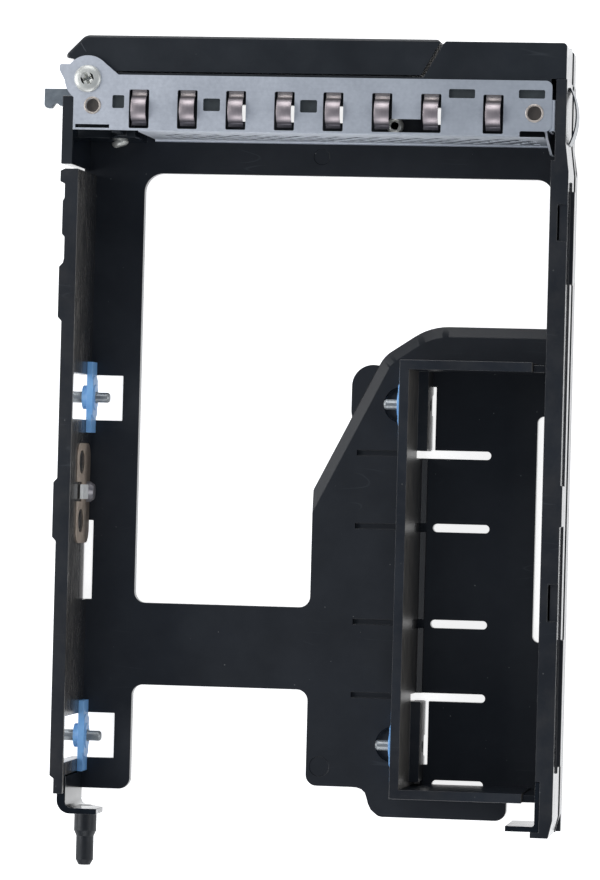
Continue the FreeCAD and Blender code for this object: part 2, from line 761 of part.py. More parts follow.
def make_pads():
    pin_radius = d.pin_diameter / 2
    root_radius = pin_radius + d.pin_shoulder
    low = d.pin_height - d.pad_height / 2
    sides = (("bay", 1, pad_face, pivot_inner), ("bracket", -1, bracket_pad_face, bracket_face))
    for side, outward, face, seat in sides:
        for row, y in pin_rows:
            name = f"{side}_{row}"
            near, far = (face, seat) if outward == 1 else (seat, face)
            high = low + d.pad_height
            plate = block(
                f"{name}_plate", (near, y - d.pad_length / 2, low), (far, y + d.pad_length / 2, high))
            start = face - d.pad_ring if outward == 1 else face
            disc = rod(f"{name}_disc", (start, y, d.pin_height), d.pad_disc, d.pad_ring, "x")
            keep = block(
                f"{name}_keep", (start, y - d.pad_disc, low), (start + d.pad_ring, y + d.pad_disc, high))
            start = face - 2 * d.pad_ring if outward == 1 else face
            boss = rod(f"{name}_boss", (start, y, d.pin_height), d.pad_boss, 2 * d.pad_ring, "x")
            parts = [plate, common(f"{name}_step", disc, keep), boss]
            start = seat if outward == 1 else seat - d.pad_collar
            parts.append(rod(
                f"{name}_collar", (start, y, d.pin_height), d.pad_collar_radius, d.pad_collar, "x"))
            blank = join(f"{name}_blank", parts)
            bore = rod(
                f"{name}_bore", (near - 3.0, y, d.pin_height), root_radius + d.press_gap, 9.0, "x")
            finish(cut(f"{side}_pad_{row}", blank, [bore]), f"{side}_pad_{row}")

            proud = 2 * d.pad_ring + 0.2
            tip = face - outward * d.pin_reach
            shoulder = face - outward * proud
            back = seat + outward * d.pin_root
            chamfer = 0.4
            low_end, high_end = (shoulder, back) if outward == 1 else (back, shoulder)
            root = rod(f"{name}_root", (low_end, y, d.pin_height), root_radius, high_end - low_end, "x")
            start = tip + chamfer if outward == 1 else shoulder
            free = rod(
                f"{name}_free", (start, y, d.pin_height), pin_radius, d.pin_reach - proud - chamfer, "x")
            start = tip if outward == 1 else tip - chamfer
            radii = (pin_radius - 0.3, pin_radius) if outward == 1 else (pin_radius, pin_radius - 0.3)
            point = taper(f"{name}_point", (start, y, d.pin_height), *radii, chamfer, "x")
            solids = [root, free, point]
            finish(join(f"{side}_pin_{row}", solids), f"{side}_pin_{row}")


make_pads()


# ---- Bezel frame ------------------------------------------------------------------------------
# The fixed moulding at the front: a ventilated wall behind the lever, the end cap on the latch
# side, and the corner block on the pivot side with a slot for the claw's swing.

cap_front = -(d.bezel_front - d.cap_setback)
cap_side = -(half_width - 1.0)
pipe_inner = -half_width + d.latch_wall - d.rail_web
pipe_low = d.floor_thickness + 3.6
button_middle = d.rail_top / 2


def make_bezel_frame():
    floor = d.floor_thickness
    top = lever_top
    wall_rear = front_edge + d.frame_wall
    cap_corner = -(d.lever_split + d.lever_end_gap)
    cap = new_body("end_cap_body")
    plan = new_sketch(cap, "end_cap_plan", "XY_Plane", d.part_gap)
    outline = [
        (cap_corner, front_edge), (cap_corner - d.lever_split_slant, cap_front + 0.6),
        (cap_corner - d.lever_split_slant - 0.6, cap_front), (cap_side, cap_front), (cap_side, front_edge)]
    draw_outline(plan, outline)
    shell = pad(cap, plan, top - d.part_gap)
    shell = round_corners(cap, "end_cap_corner", shell, [outline[3]], 0.9)
    cap.Tip = shell
    cavity_low = cap_corner - d.lever_split_slant - d.bezel_shell
    cavity = block(
        "end_cap_cavity", (pipe_inner + 1.2, cap_front + d.bezel_shell, d.part_gap + d.bezel_shell),
        (cavity_low, front_edge, top - d.bezel_shell))
    cap_shell = cut("end_cap_shell", cap, [cavity])

    block_side = half_width + d.guide_bulge + 0.15
    arm = pivot_x - 7.6
    parts = [
        cap_shell,
        block("frame_front_wall", (latch_inner + d.part_gap, front_edge, floor), (arm + 2.0, wall_rear, top)),
        block("frame_arm", (arm, front_edge, floor), (arm + 2.0, -3.0, top)),
        block("frame_rear_block", (arm - 2.0, -6.0, floor),
              (half_width - 1.4, -d.shield_rear, d.rail_top - 7.5)),
        block("frame_ridge", (half_width - 1.4, pivot_y + 3.8, floor), (block_side, 4.1, top)),
        block("frame_cross_rib", (arm, -7.2, floor), (half_width - 1.4, -5.6, top)),
    ]
    whole = join("frame_blank", parts)

    tools = [rod("frame_claw_sweep", (pivot_x, pivot_y, d.claw_height - d.part_gap),
                 d.claw_reach + d.part_gap, d.claw_thickness + 2 * d.part_gap)]
    tools.append(rod("frame_eye_room", (pivot_x, pivot_y, floor - THROUGH), d.pivot_eye + d.part_gap,
                     d.rail_top))
    half_button = d.button_width / 2
    hole_side = half_button + d.part_gap
    hole_rise = d.button_height / 2 + d.part_gap
    tools.append(block(
        "frame_button_hole", (button_x - hole_side, cap_front - THROUGH, button_middle - hole_rise),
        (button_x + hole_side, cap_front + d.bezel_shell + THROUGH, button_middle + hole_rise)))
    tools.append(block(
        "frame_pipe_channel", (cap_side - 2 * THROUGH, cap_front - THROUGH, pipe_low),
        (pipe_inner, wall_rear + THROUGH, pipe_low + 2 * d.light_pipe + 1.6)))
    vent_pitch = 8.6
    for number in range(7):
        centre = pivot_x - 14.0 - vent_pitch * number
        tools.append(block(
            f"frame_vent{number}", (centre - 3.4, front_edge - THROUGH, floor + 3.0),
            (centre + 3.4, wall_rear + THROUGH, top - 4.0)))
    tools.append(rod(
        "frame_screw_hole", (d.corner_screw_x, -d.shield_rear - 4.0, floor + 3.5),
        d.small_screw / 2 + d.press_gap, 6.0, "y"))
    return finish(cut("bezel_frame", whole, tools), "bezel_frame")


make_bezel_frame()


# ---- Lever ------------------------------------------------------------------------------------
# The moulded handle: a channel open to the rear with vents through its face, and an eye for the
# pivot screw. The eye is slotted for the claw and counterbored for the return spring.

def make_lever():
    rear = front_edge - d.part_gap
    front = -d.bezel_front
    body = new_body("lever_body")
    plan = new_sketch(body, "lever_plan", "XY_Plane", d.part_gap)
    nose = pivot_x + 5.3
    outline = [
        (-d.lever_split, rear), (-d.lever_split - d.lever_split_slant, front + 0.6),
        (-d.lever_split - d.lever_split_slant + 0.6, front), (pivot_x + 0.9, front),
        (nose, pivot_y - 5.4), (nose - 0.3, pivot_y - 4.7), (pivot_x + 3.4, pivot_y - 4.4),
        (pivot_x + 2.5, rear)]
    draw_outline(plan, outline)
    bar = pad(body, plan, lever_top - d.part_gap)
    bar = round_corners(body, "lever_nose", bar, [outline[4]], 1.1)
    bar = round_corners(body, "lever_shoulder", bar, [outline[3]], 2.5)
    doc.recompute()
    rounding = body.newObject("PartDesign::Fillet", "lever_front_edges")
    middle = (outline[2][0] + outline[3][0]) / 2
    rounding.Base = (bar, [slanted_edge(bar.Shape, (middle, front), height)[0]
                           for height in (d.part_gap, lever_top)])
    rounding.setExpression("Radius", size(0.7).text)
    body.Tip = rounding

    arm_end = pivot_x - d.pivot_eye - 1.6
    cavity_end = -d.lever_split - d.lever_split_slant + 6.4
    tools = [block(
        "lever_cavity", (cavity_end, front + d.bezel_shell, d.part_gap + d.bezel_shell),
        (arm_end, rear + THROUGH, lever_top - d.bezel_shell))]
    vent_pitch = 7.4
    for number in range(8):
        centre = arm_end - 7.0 - vent_pitch * number
        low = button_middle - 6.5
        high = button_middle + 6.5
        tools.append(block(
            f"lever_vent{number}", (centre - 1.7, front - THROUGH, low),
            (centre + 1.7, front + d.bezel_shell + THROUGH, high)))
        for label, height in (("low", low), ("high", high)):
            tools.append(rod(
                f"lever_vent_{label}{number}", (centre, front - THROUGH, height), 1.7,
                d.bezel_shell + 2 * THROUGH, "y"))
    step = d.rail_top - 1.4
    eye_low = d.floor_thickness + d.part_gap
    eye = rod("lever_eye", (pivot_x, pivot_y, eye_low), d.pivot_eye, step - eye_low)
    boss = rod("lever_eye_boss", (pivot_x, pivot_y, eye_low), d.pivot_eye - 1.0, lever_top - eye_low)
    whole = join("lever_blank", [cut("lever_shell", body, tools), eye, boss])

    bore = d.pivot_shank / 2 + d.running_gap
    tools = [
        rod("lever_bore", (pivot_x, pivot_y, 0), bore, d.rail_top + THROUGH),
        rod("lever_foot_room", (pivot_x, pivot_y, -THROUGH), d.shield_ear + d.part_gap,
            d.floor_thickness + d.part_gap + THROUGH),
        rod("lever_spring_room", (pivot_x, pivot_y, 0), 3.9, d.floor_thickness + 4.4),
        rod("lever_claw_slot", (pivot_x, pivot_y, d.claw_height), d.pivot_eye, d.claw_thickness),
        block("lever_key_slot", (pivot_x - 2.0, pivot_y - 5.8, d.claw_height),
              (pivot_x + 2.0, pivot_y, d.claw_height + d.claw_thickness)),
    ]
    return finish(cut("lever_handle", whole, tools), "lever_handle")


def make_claw():
    body = new_body("claw_body")
    plan = new_sketch(body, "claw_plan", "XY_Plane", d.claw_height)
    x = pivot_x
    y = pivot_y
    tip = x + d.claw_reach - 1.55
    outline = [
        (x, y + 1.7), (tip, y + 1.7), (tip, y + 6.1), (tip - 1.7, y + 6.1), (tip - 2.65, y + 4.7),
        (tip - 3.6, y + 5.6), (tip - 5.0, y + 5.2), (x + 2.4, y + 4.3), (x, y + 4.3)]
    draw_outline(plan, outline)
    arm = pad(body, plan, d.claw_thickness)
    arm = round_corners(body, "claw_corner", arm, [outline[2]], 0.9)
    arm = round_corners(body, "claw_waves", arm, [outline[3], outline[4], outline[5]], 0.5)
    body.Tip = arm
    ring = rod("claw_ring", (x, y, d.claw_height), d.pivot_eye, d.claw_thickness)
    key = block("claw_key", (x - 2.0, y - 5.8, d.claw_height), (x + 2.0, y, d.claw_height + d.claw_thickness))
    whole = join("claw_blank", [body, ring, key])
    bore = rod("claw_bore", (x, y, 0), d.pivot_shank / 2 + d.running_gap, d.rail_top)
    return finish(cut("lever_claw", whole, [bore]), "lever_claw")


make_lever()
make_claw()


# ---- Springs ----------------------------------------------------------------------------------

COIL_SIDES = 8


def coil(name, centre, radius, wire, pitch, turns, along="z"):
    """A wire coil swept along a helix; its section has eight sides to keep it light."""
    helix = Part.makeHelix(pitch, pitch * turns, radius)
    corners = []
    for step in range(COIL_SIDES + 1):
        angle = 2 * math.pi * step / COIL_SIDES
        corners.append(Vector(radius + wire / 2 * math.cos(angle), 0, wire / 2 * math.sin(angle)))
    solid = Part.Wire(helix).makePipeShell([Part.makePolygon(corners)], True, True)
    thing = doc.addObject("Part::Feature", name)
    thing.Shape = solid
    thing.Placement = FreeCAD.Placement(Vector(*[size(value).number for value in centre]), TURNS[along])
    return finish(thing, name)


coil("lever_spring", (pivot_x, pivot_y, d.floor_thickness + 0.6), 2.9, 0.8, 1.1, 3, "z")


# ---- Release button ---------------------------------------------------------------------------
# A push button in the end cap: a face, a flange that stops it behind the shell, and a stem that
# centres its spring.

def make_button():
    x = button_x
    half = d.button_width / 2
    low = button_middle - d.button_height / 2
    high = button_middle + d.button_height / 2
    face_depth = d.bezel_shell + 0.1
    flange = cap_front + face_depth
    face = block("button_face", (x - half, cap_front + 0.1, low), (x + half, flange, high))
    lip = block("button_lip", (x - half - 0.9, flange, low - 0.9), (x + half + 0.9, flange + 0.9, high + 0.9))
    stem = rod("button_stem", (x, flange + 0.9, button_middle), 1.3, 1.6, "y")
    whole = join("button_blank", [face, lip, stem])
    tools = []
    for number in range(3):
        groove = x - 3.4 + 3.4 * number
        tools.append(block(
            f"button_groove{number}", (groove - 0.5, cap_front - THROUGH, low + 2.2),
            (groove + 0.5, cap_front + 0.6, high - 2.2)))
    finish(cut("release_button", whole, tools), "release_button")
    length = (front_edge - flange - 0.9).number
    wire = 0.4
    turns = 4
    coil("button_spring", (x, flange + 0.9 + wire / 2, button_middle), 1.8, wire,
         (length - wire) / turns * 0.98, turns, "y")


make_button()


# ---- Shield -----------------------------------------------------------------------------------
# Folded zinc-plated sheet: a top plate with an ear round the pivot, windows for the fingers, a
# rear face pierced as a honeycomb, a hem at its foot and a side flange on the latch side.

window_middles = [d.finger_first - d.finger_pitch * number for number in range(7)]
window_middles.append(d.finger_first - d.finger_pitch * 7 - 2.9)


def honeycomb(name, low_x, high_x, low_z, high_z, start_y, depth):
    """Six-sided cutters that fill a rectangle, as one tool; their sizes come from the sheet."""
    across = d.mesh_cell.number
    pitch = across + d.mesh_web.number
    radius = across / math.sqrt(3)
    rise = pitch * math.sqrt(3) / 2
    cells = []
    row = 0
    z = low_z + radius
    while z + radius <= high_z:
        x = low_x + across / 2 + (pitch / 2 if row % 2 else 0)
        while x + across / 2 <= high_x:
            corners = []
            for step in range(7):
                angle = math.radians(30 + 60 * step)
                corners.append(Vector(x + radius * math.cos(angle), start_y, z + radius * math.sin(angle)))
            face = Part.Face(Part.makePolygon(corners))
            cells.append(face.extrude(Vector(0, depth, 0)))
            x += pitch
        z += rise
        row += 1
    thing = doc.addObject("Part::Feature", name)
    thing.Shape = Part.makeCompound(cells)
    return thing


slit_opening = (-32.2, -12.8, 5.8, 2.0)             # the opening beside the last fingers


def make_shield():
    under = d.rail_top
    over = plate_top
    front = -d.shield_front
    rear = -d.shield_rear
    sheet_t = d.sheet_steel
    hem = d.floor_thickness
    flange_start = half_width - d.shield_fold_inset
    flange_end = latch_inner + 1.6
    notch_side = latch_inner + 7.0          # notch through the bend at the latch end
    notch_front = rear - 2.35
    body = new_body("shield_fold")
    section = new_sketch(body, "shield_section", "YZ_Plane", flange_end)
    corners = [
        (front, under), (front, over), (rear, over), (rear, hem + sheet_t), (rear + 0.5, hem + sheet_t),
        (rear + 0.5, hem), (rear - sheet_t, hem), (rear - sheet_t, under)]
    draw_outline(section, corners)
    fold = pad(body, section, flange_start - flange_end)
    doc.recompute()
    bend_radius = size(0.7)
    for name, picks, radius in (
            ("shield_outer_bend", [corners[2]], bend_radius + sheet_t),
            ("shield_inner_bend", [corners[7]], bend_radius),
            ("shield_foot_outer", [corners[6]], d.foot_bend + sheet_t),
            ("shield_foot_inner", [corners[3]], d.foot_bend)):
        doc.recompute()
        bend = body.newObject("PartDesign::Fillet", name)
        bend.Base = (fold, edges_at(fold.Shape, picks, "yz", Vector(1, 0, 0)))
        bend.setExpression("Radius", radius.text)
        fold = bend
    body.Tip = fold

    plate = new_body("shield_plate_body")
    plan = new_sketch(plate, "shield_plan", "XY_Plane", under)
    edge = shield_edge
    outline = [
        (latch_inner, front), (pivot_x - 6.9, front), (pivot_x - 2.9, pivot_y - 4.3), (pivot_x, pivot_y),
        (pivot_x + 3.5, pivot_y - 3.2), (edge + 3.4, pivot_y - 3.2), (edge + 3.3, pivot_y - 1.8),
        (edge + 0.6, pivot_y + 3.1), (edge, pivot_y + 4.1), (edge, rear - 0.9),
        (flange_start - 0.1, rear - 0.9), (flange_start - 0.1, rear - 1.4), (notch_side, rear - 1.4),
        (notch_side, notch_front), (latch_inner, notch_front)]
    draw_outline(plan, outline)
    sheet_pad = pad(plate, plan, sheet_t)
    sheet_pad = round_corners(plate, "shield_corners", sheet_pad, [outline[0], outline[14]], 1.4)
    sheet_pad = round_corners(plate, "shield_spike", sheet_pad, [outline[5], outline[6]], 0.5)
    plate.Tip = sheet_pad
    ear = rod("shield_ear_disc", (pivot_x, pivot_y, under), d.shield_ear, sheet_t)

    side = new_body("shield_side_body")
    side_plan = new_sketch(side, "shield_side_plan", "YZ_Plane", latch_inner)
    draw_outline(side_plan, [
        (front + 4.0, under), (front + 4.0, under - 8.0), (notch_front, under - 8.0), (notch_front, under)])
    side.Tip = pad(side, side_plan, sheet_t)
    gusset = new_body("shield_gusset_body")
    gusset_plan = new_sketch(gusset, "shield_gusset_plan", "YZ_Plane", latch_inner + d.shield_gusset)
    gusset_outline = [
        (notch_front - 2.0, under), (notch_front, under), (rear - 0.6, under - 3.0),
        (rear + 0.8, under - 9.0), (rear + 2.5, under - 16.0), (rear + 2.5, hem + 1.5),
        (rear, hem + 1.5), (notch_front - 2.0, under - 14.0)]
    draw_outline(gusset_plan, gusset_outline)
    gusset_pad = pad(gusset, gusset_plan, sheet_t)
    gusset.Tip = gusset_pad

    collars = []
    threads = (("pivot", pivot_x - 1.2, -9.0, 1.5), ("latch", latch_inner + 3.8, -8.7, 1.25))
    for label, x, y, radius in threads:
        collars.append(rod(f"shield_collar_{label}", (x, y, under - 1.2), radius + 0.5, 1.2))
    whole = join("shield_blank", [body, plate, ear, side, gusset] + collars)

    deep = under - 4.0
    far = size(8.0)
    tools = [rod("shield_pivot_hole", (pivot_x, pivot_y, deep), d.pivot_shank / 2 + d.press_gap, far)]
    for label, x, y, radius in threads:
        tools.append(rod(f"shield_thread_{label}", (x, y, deep), radius, far))
    openings = [(x, -(d.window_front + d.window_rear) / 2, d.window_width, d.window_front - d.window_rear)
                for x in window_middles]
    notch_far = flange_end - 0.1
    openings += [
        (44.5, -9.9, 2.7, 2.9), (23.5, -9.5, 3.8, 2.8), (1.8, -9.5, 3.8, 2.8), slit_opening,
        (latch_inner + 4.45, -12.9, 5.8, 1.9),
        ((notch_side + notch_far) / 2, notch_front + 0.875, notch_side - notch_far, 1.75)]
    punches = new_body("shield_punches")
    layout = new_sketch(punches, "shield_openings", "XY_Plane", deep)
    corners = []
    for x, y, width, length in openings:
        x, y, width, length = size(x), size(y), size(width) / 2, size(length) / 2
        rectangle = [
            (x - width, y - length), (x + width, y - length),
            (x + width, y + length), (x - width, y + length)]
        draw_outline(layout, rectangle)
        corners += rectangle
    punch = pad(punches, layout, far)
    punches.Tip = round_corners(punches, "shield_opening_corners", punch, corners, d.punch_corner)
    tools.append(punches)
    tools.append(block(
        "shield_window_link", (window_middles[6] - 0.5, -7.0, deep),
        (window_middles[5] + 0.5, -d.window_rear, deep + far)))
    tools.append(block("shield_notch", (edge - 8.2, -4.8, deep), (edge - 0.5, -4.0, deep + far)))
    tools.append(honeycomb(
        "shield_mesh", flange_end.number + 2.5, flange_start.number - 2.5, hem.number + 2.2,
        under.number - 2.6, rear.number - 2, 3.0))
    return finish(cut("shield_plate", whole, tools), "shield_plate")


make_shield()


# ---- Contact fingers --------------------------------------------------------------------------
# One strip of spring steel under the plate's front edge; its fingers arch up through the windows.

def make_fingers():
    root = d.rail_top - d.finger_sheet
    near = -d.window_front + 0.1
    span = d.window_front - d.window_rear - 0.9
    radius = (span / 2 * (span / 2) + d.finger_rise * d.finger_rise) / (2 * d.finger_rise)
    centre_y = near + span / 2
    centre_z = root + d.finger_rise - radius
    half = d.finger_width / 2
    parts = [block(
        "finger_root", (window_middles[-1] - half, -d.window_front - 2.0, root),
        (window_middles[0] + half, -d.window_front + 0.7, d.rail_top))]
    for number, x in enumerate(window_middles):
        outer = rod(f"finger_outer{number}", (x - half, centre_y, centre_z), radius, d.finger_width, "x")
        inner = rod(
            f"finger_inner{number}", (x - half - 1, centre_y, centre_z), radius - d.finger_sheet,
            d.finger_width + 2, "x")
        arch = cut(f"finger_ring{number}", outer, [inner])
        keep = block(f"finger_keep{number}", (x - half, near, root), (x + half, near + span, root + 10))
        parts.append(common(f"finger_arch{number}", arch, keep))
    x, y, width, length = slit_opening
    room = block("finger_slit_room", (x - width / 2 - 0.5, y - length / 2 - 0.3, root - THROUGH),
                 (x + width / 2 + 0.5, y + length / 2 + 1.0, d.rail_top + THROUGH))
    return finish(cut("finger_strip", join("finger_comb", parts), [room]), "finger_strip")


make_fingers()


# ---- Side spring ------------------------------------------------------------------------------
# A bowed leaf outside the latch rail's front end, hooked at both ends.

def make_side_spring():
    length = 12.6
    rise = 1.5
    leaf = 0.3
    near = front_edge + 1.4
    low = d.rail_top - 14.0
    radius = ((length / 2) ** 2 + rise ** 2) / (2 * rise)
    tall = 7.5
    centre_x = rail_front_side - rise - leaf + radius
    outer = rod("side_spring_outer", (centre_x, near + length / 2, low), radius, tall)
    inner = rod("side_spring_inner", (centre_x, near + length / 2, low - THROUGH), radius - leaf,
                tall + 2 * THROUGH)
    arch = cut("side_spring_ring", outer, [inner])
    keep = block("side_spring_keep", (rail_front_side - 4.0, near, low),
                 (rail_front_side, near + length, low + tall))
    return finish(common("side_spring", arch, keep), "side_spring")


make_side_spring()


# ---- Screws -----------------------------------------------------------------------------------

def pan_head(name, start, radius, height, along="z"):
    """A pan head with a cross recess; it stands on its seat and faces along an axis."""
    x, y, z = start
    flat = 0.4 * height
    recess = 0.6
    half_arm = 0.35
    reach = radius * 0.45
    rim = rod(f"{name}_rim", start, radius, flat, along)
    base = height - recess
    top = height + THROUGH
    if along == "z":
        crown = taper(f"{name}_crown", (x, y, z + flat), radius, radius * 0.72, height - flat)
        arms = [
            block(f"{name}_arm_a", (x - reach, y - half_arm, z + base), (x + reach, y + half_arm, z + top)),
            block(f"{name}_arm_b", (x - half_arm, y - reach, z + base), (x + half_arm, y + reach, z + top))]
    else:
        crown = taper(f"{name}_crown", (x, y + flat, z), radius, radius * 0.72, height - flat, along)
        arms = [
            block(f"{name}_arm_a", (x - reach, y + base, z - half_arm), (x + reach, y + top, z + half_arm)),
            block(f"{name}_arm_b", (x - half_arm, y + base, z - reach), (x + half_arm, y + top, z + reach))]
    return cut(f"{name}_head", join(f"{name}_form", [rim, crown]), arms)


def make_screws():
    head_radius = d.pivot_head / 2
    head = pan_head("pivot", (pivot_x, pivot_y, plate_top), head_radius, d.pivot_head_rise)
    shank = rod("pivot_shank", (pivot_x, pivot_y, 0.4), d.pivot_shank / 2, plate_top - 0.4)
    finish(join("pivot_screw", [shank, head]), "pivot_screw")

    floor = d.floor_thickness
    side_y = -d.shield_rear
    head_radius = d.small_screw_head / 2
    shank_radius = d.small_screw / 2
    side = pan_head("corner_screw", (d.corner_screw_x, side_y, floor + 3.5), head_radius, 1.4, "y")
    side_shank = rod(
        "corner_screw_shank", (d.corner_screw_x, side_y - 3.6, floor + 3.5), shank_radius, 3.6, "y")
    down = pan_head("floor_screw", (d.floor_screw_x, -d.floor_screw_y, floor), head_radius, 1.4)
    down_shank = rod("floor_screw_shank", (d.floor_screw_x, -d.floor_screw_y, 0.4), shank_radius, floor - 0.4)
    finish(join("frame_screws", [side, side_shank, down, down_shank]), "frame_screws")

    y = front_pin + 21.4
    face = pivot_inner - 0.3
    stand = join("standoff_head", [
        rod("standoff_rim", (face - 0.65, y, 6.0), 2.35, 0.65, "x"),
        taper("standoff_crown", (face - 1.6, y, 6.0), 1.7, 2.35, 0.95, "x")])
    stand_shank = rod("standoff_shank", (face, y, 6.0), 1.5, 2.9, "x")
    clip = block("standoff_clip", (face - 0.7, y - 1.65, 8.6), (face, y + 1.65, 15.4))
    finish(join("standoff_screw", [stand, stand_shank]), "standoff_screw")
    finish(clip, "standoff_clip")


make_screws()


# ---- Contact plate ----------------------------------------------------------------------------
# A thin bronze plate on the pivot rail's inner face with two long round-ended holes.

def make_contact_plate():
    y = front_pin + 21.4
    body = new_body("contact_plate_body")
    face = new_sketch(body, "contact_plate_face", "YZ_Plane", pivot_inner - 0.3)
    low = d.floor_thickness + 0.3
    high = 18.6
    draw_outline(face, [(y - 10.95, low), (y + 11.55, low), (y + 11.55, high), (y - 10.95, high)])
    plate = pad(body, face, 0.3)
    doc.recompute()
    rounding = body.newObject("PartDesign::Fillet", "contact_plate_corners")
    spots = [(y - 10.95, low), (y + 11.55, low), (y + 11.55, high), (y - 10.95, high)]
    rounding.Base = (plate, edges_at(plate.Shape, spots, "yz", Vector(1, 0, 0)))
    rounding.setExpression("Radius", size(3.4).text)
    body.Tip = rounding
    tools = []
    for number, centre in enumerate((y - 6.7, y + 6.5)):
        tools.append(block(
            f"contact_hole{number}", (pivot_inner - 1, centre - 2.6, 7.6),
            (pivot_inner + 1, centre + 2.6, 13.8)))
        for label, height in (("low", 7.6), ("high", 13.8)):
            tools.append(rod(f"contact_hole_{label}{number}", (pivot_inner - 1, centre, height), 2.6, 2, "x"))
    tools.append(rod("contact_screw_hole", (pivot_inner - 1, y, 6.0), 1.52, 2, "x"))
    tools.append(block("contact_waist", (pivot_inner - 1, y - 2.2, high - 6),
                       (pivot_inner + 1, y + 2.2, high + 1)))
    return finish(cut("contact_plate", body, tools), "contact_plate")


make_contact_plate()


# ---- Rear steel -------------------------------------------------------------------------------
# A folded bracket in the end of the pivot rail carries the guide pin; a folded tab closes the end
# of the latch rail.

def make_guide_bracket():
    low = d.floor_thickness + 0.4
    high = d.rail_top - 2.2
    body = new_body("guide_bracket_fold")
    plan = new_sketch(body, "guide_bracket_plan", "XY_Plane", low)
    leg_inner = guide_leg_side - d.guide_leg
    rear = guide_face + d.guide_tab
    end = guide_x - 4.4
    corners = [
        (leg_inner, guide_leg_start), (guide_leg_side, guide_leg_start), (guide_leg_side, rear), (end, rear),
        (end, guide_face), (leg_inner, guide_face)]
    draw_outline(plan, corners)
    fold = pad(body, plan, high - low)
    fold = round_corners(body, "guide_bracket_outer", fold, [corners[2]], 3.0)
    fold = round_corners(body, "guide_bracket_inner", fold, [corners[5]], 1.4)
    body.Tip = fold
    wedge = new_body("guide_bracket_wedge")
    slope = new_sketch(wedge, "guide_bracket_slope", "XZ_Plane", -(rear + THROUGH))
    draw_outline(slope, [
        (end - THROUGH, low - THROUGH), (guide_leg_side - 1.0, low - THROUGH), (end - THROUGH, high - 6.8)])
    wedge_pad = pad(wedge, slope, d.guide_tab + 2 * THROUGH)
    wedge.Tip = wedge_pad
    hole = rod("guide_bracket_hole", (guide_x, guide_face - THROUGH, d.guide_height), 1.5,
               d.guide_tab + 2 * THROUGH, "y")
    return finish(cut("guide_bracket", body, [wedge, hole]), "guide_bracket")


def make_guide_pin():
    """Turned on its axis: a tail through the tab, a shoulder, a step and a straight tip."""
    body = new_body("guide_pin_turned")
    half = new_sketch(body, "guide_pin_profile", "XY_Plane", d.guide_height)
    seat = guide_face + d.guide_tab
    tip = seat + d.guide_length
    radius = d.guide_diameter / 2
    tip_radius = d.guide_tip_diameter / 2
    tail_radius = size(1.5)
    draw_outline(half, [
        (guide_x, guide_face), (guide_x + tail_radius, guide_face), (guide_x + tail_radius, seat),
        (guide_x + radius, seat), (guide_x + radius, seat + d.guide_shoulder),
        (guide_x + tip_radius, seat + d.guide_shoulder + d.guide_step),
        (guide_x + tip_radius, tip - d.guide_point), (guide_x + tip_radius - 0.65, tip), (guide_x, tip)])
    turned = body.newObject("PartDesign::Revolution", "guide_pin_turning")
    turned.Profile = half
    turned.ReferenceAxis = (half, ["Edge9"])
    turned.Angle = 360
    body.Tip = turned
    return finish(body, "guide_pin")


def make_rear_tab():
    low = d.floor_thickness + 5.3
    high = d.rail_top - 0.2
    end = latch_rail_end - 1.3
    body = new_body("rear_tab_fold")
    plan = new_sketch(body, "rear_tab_plan", "XY_Plane", low)
    leg = latch_inner - 1.0
    corners = [
        (leg, end - tab_leg), (leg, end), (latch_inner + 6.4, end), (latch_inner + 6.4, end - 1.2),
        (leg + 1.0, end - 1.2), (leg + 1.0, end - tab_leg)]
    draw_outline(plan, corners)
    fold = pad(body, plan, high - low)
    fold = round_corners(body, "rear_tab_inner", fold, [corners[4]], 0.6)
    body.Tip = fold
    return finish(body, "rear_tab")


make_guide_bracket()
make_guide_pin()
make_rear_tab()


# ---- Check and export -------------------------------------------------------------------------

doc.recompute()
for item in doc.Objects:
    if "Invalid" in item.State or "Error" in item.State:
        raise RuntimeError(f"{item.Name} did not build: {item.State}")
for node in nodes:
    if node.Shape.isNull() or not node.Shape.isValid():
        raise RuntimeError(f"{node.Label} is not a valid solid")
os.makedirs("parts", exist_ok=True)
for node in nodes:
    node.Shape.exportStep(f"parts/{node.Label}.step")
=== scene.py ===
import math

import bpy
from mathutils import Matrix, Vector


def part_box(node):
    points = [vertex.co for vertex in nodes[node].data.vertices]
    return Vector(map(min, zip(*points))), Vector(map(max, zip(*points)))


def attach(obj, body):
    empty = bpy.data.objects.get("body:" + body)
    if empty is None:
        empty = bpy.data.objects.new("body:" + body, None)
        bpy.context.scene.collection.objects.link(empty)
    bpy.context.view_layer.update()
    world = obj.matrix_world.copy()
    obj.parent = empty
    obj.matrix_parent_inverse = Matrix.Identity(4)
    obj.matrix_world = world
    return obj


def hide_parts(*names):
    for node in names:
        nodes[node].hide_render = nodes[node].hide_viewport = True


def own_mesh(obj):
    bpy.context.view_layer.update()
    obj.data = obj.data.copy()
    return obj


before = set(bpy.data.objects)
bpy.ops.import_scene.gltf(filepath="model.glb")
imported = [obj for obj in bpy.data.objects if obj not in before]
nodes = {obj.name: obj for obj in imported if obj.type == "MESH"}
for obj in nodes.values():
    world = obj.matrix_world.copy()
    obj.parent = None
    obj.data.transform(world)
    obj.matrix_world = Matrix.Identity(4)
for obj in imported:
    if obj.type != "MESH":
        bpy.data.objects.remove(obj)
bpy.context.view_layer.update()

bpy.ops.object.select_all(action="DESELECT")


# ---- Tray -------------------------------------------------------------------------------------
# The floor of the caddy, injection moulded in black PC/ABS in one shot with its ribs and posts.
# The mould is spark eroded, so the face is finely grained, and handling has left dust on it.

def linear(code):
    """An sRGB hex colour as the linear values that a shader takes."""
    channels = [int(code[place:place + 2], 16) / 255 for place in (1, 3, 5)]
    return [c / 12.92 if c <= 0.04045 else ((c + 0.055) / 1.055) ** 2.4 for c in channels] + [1]


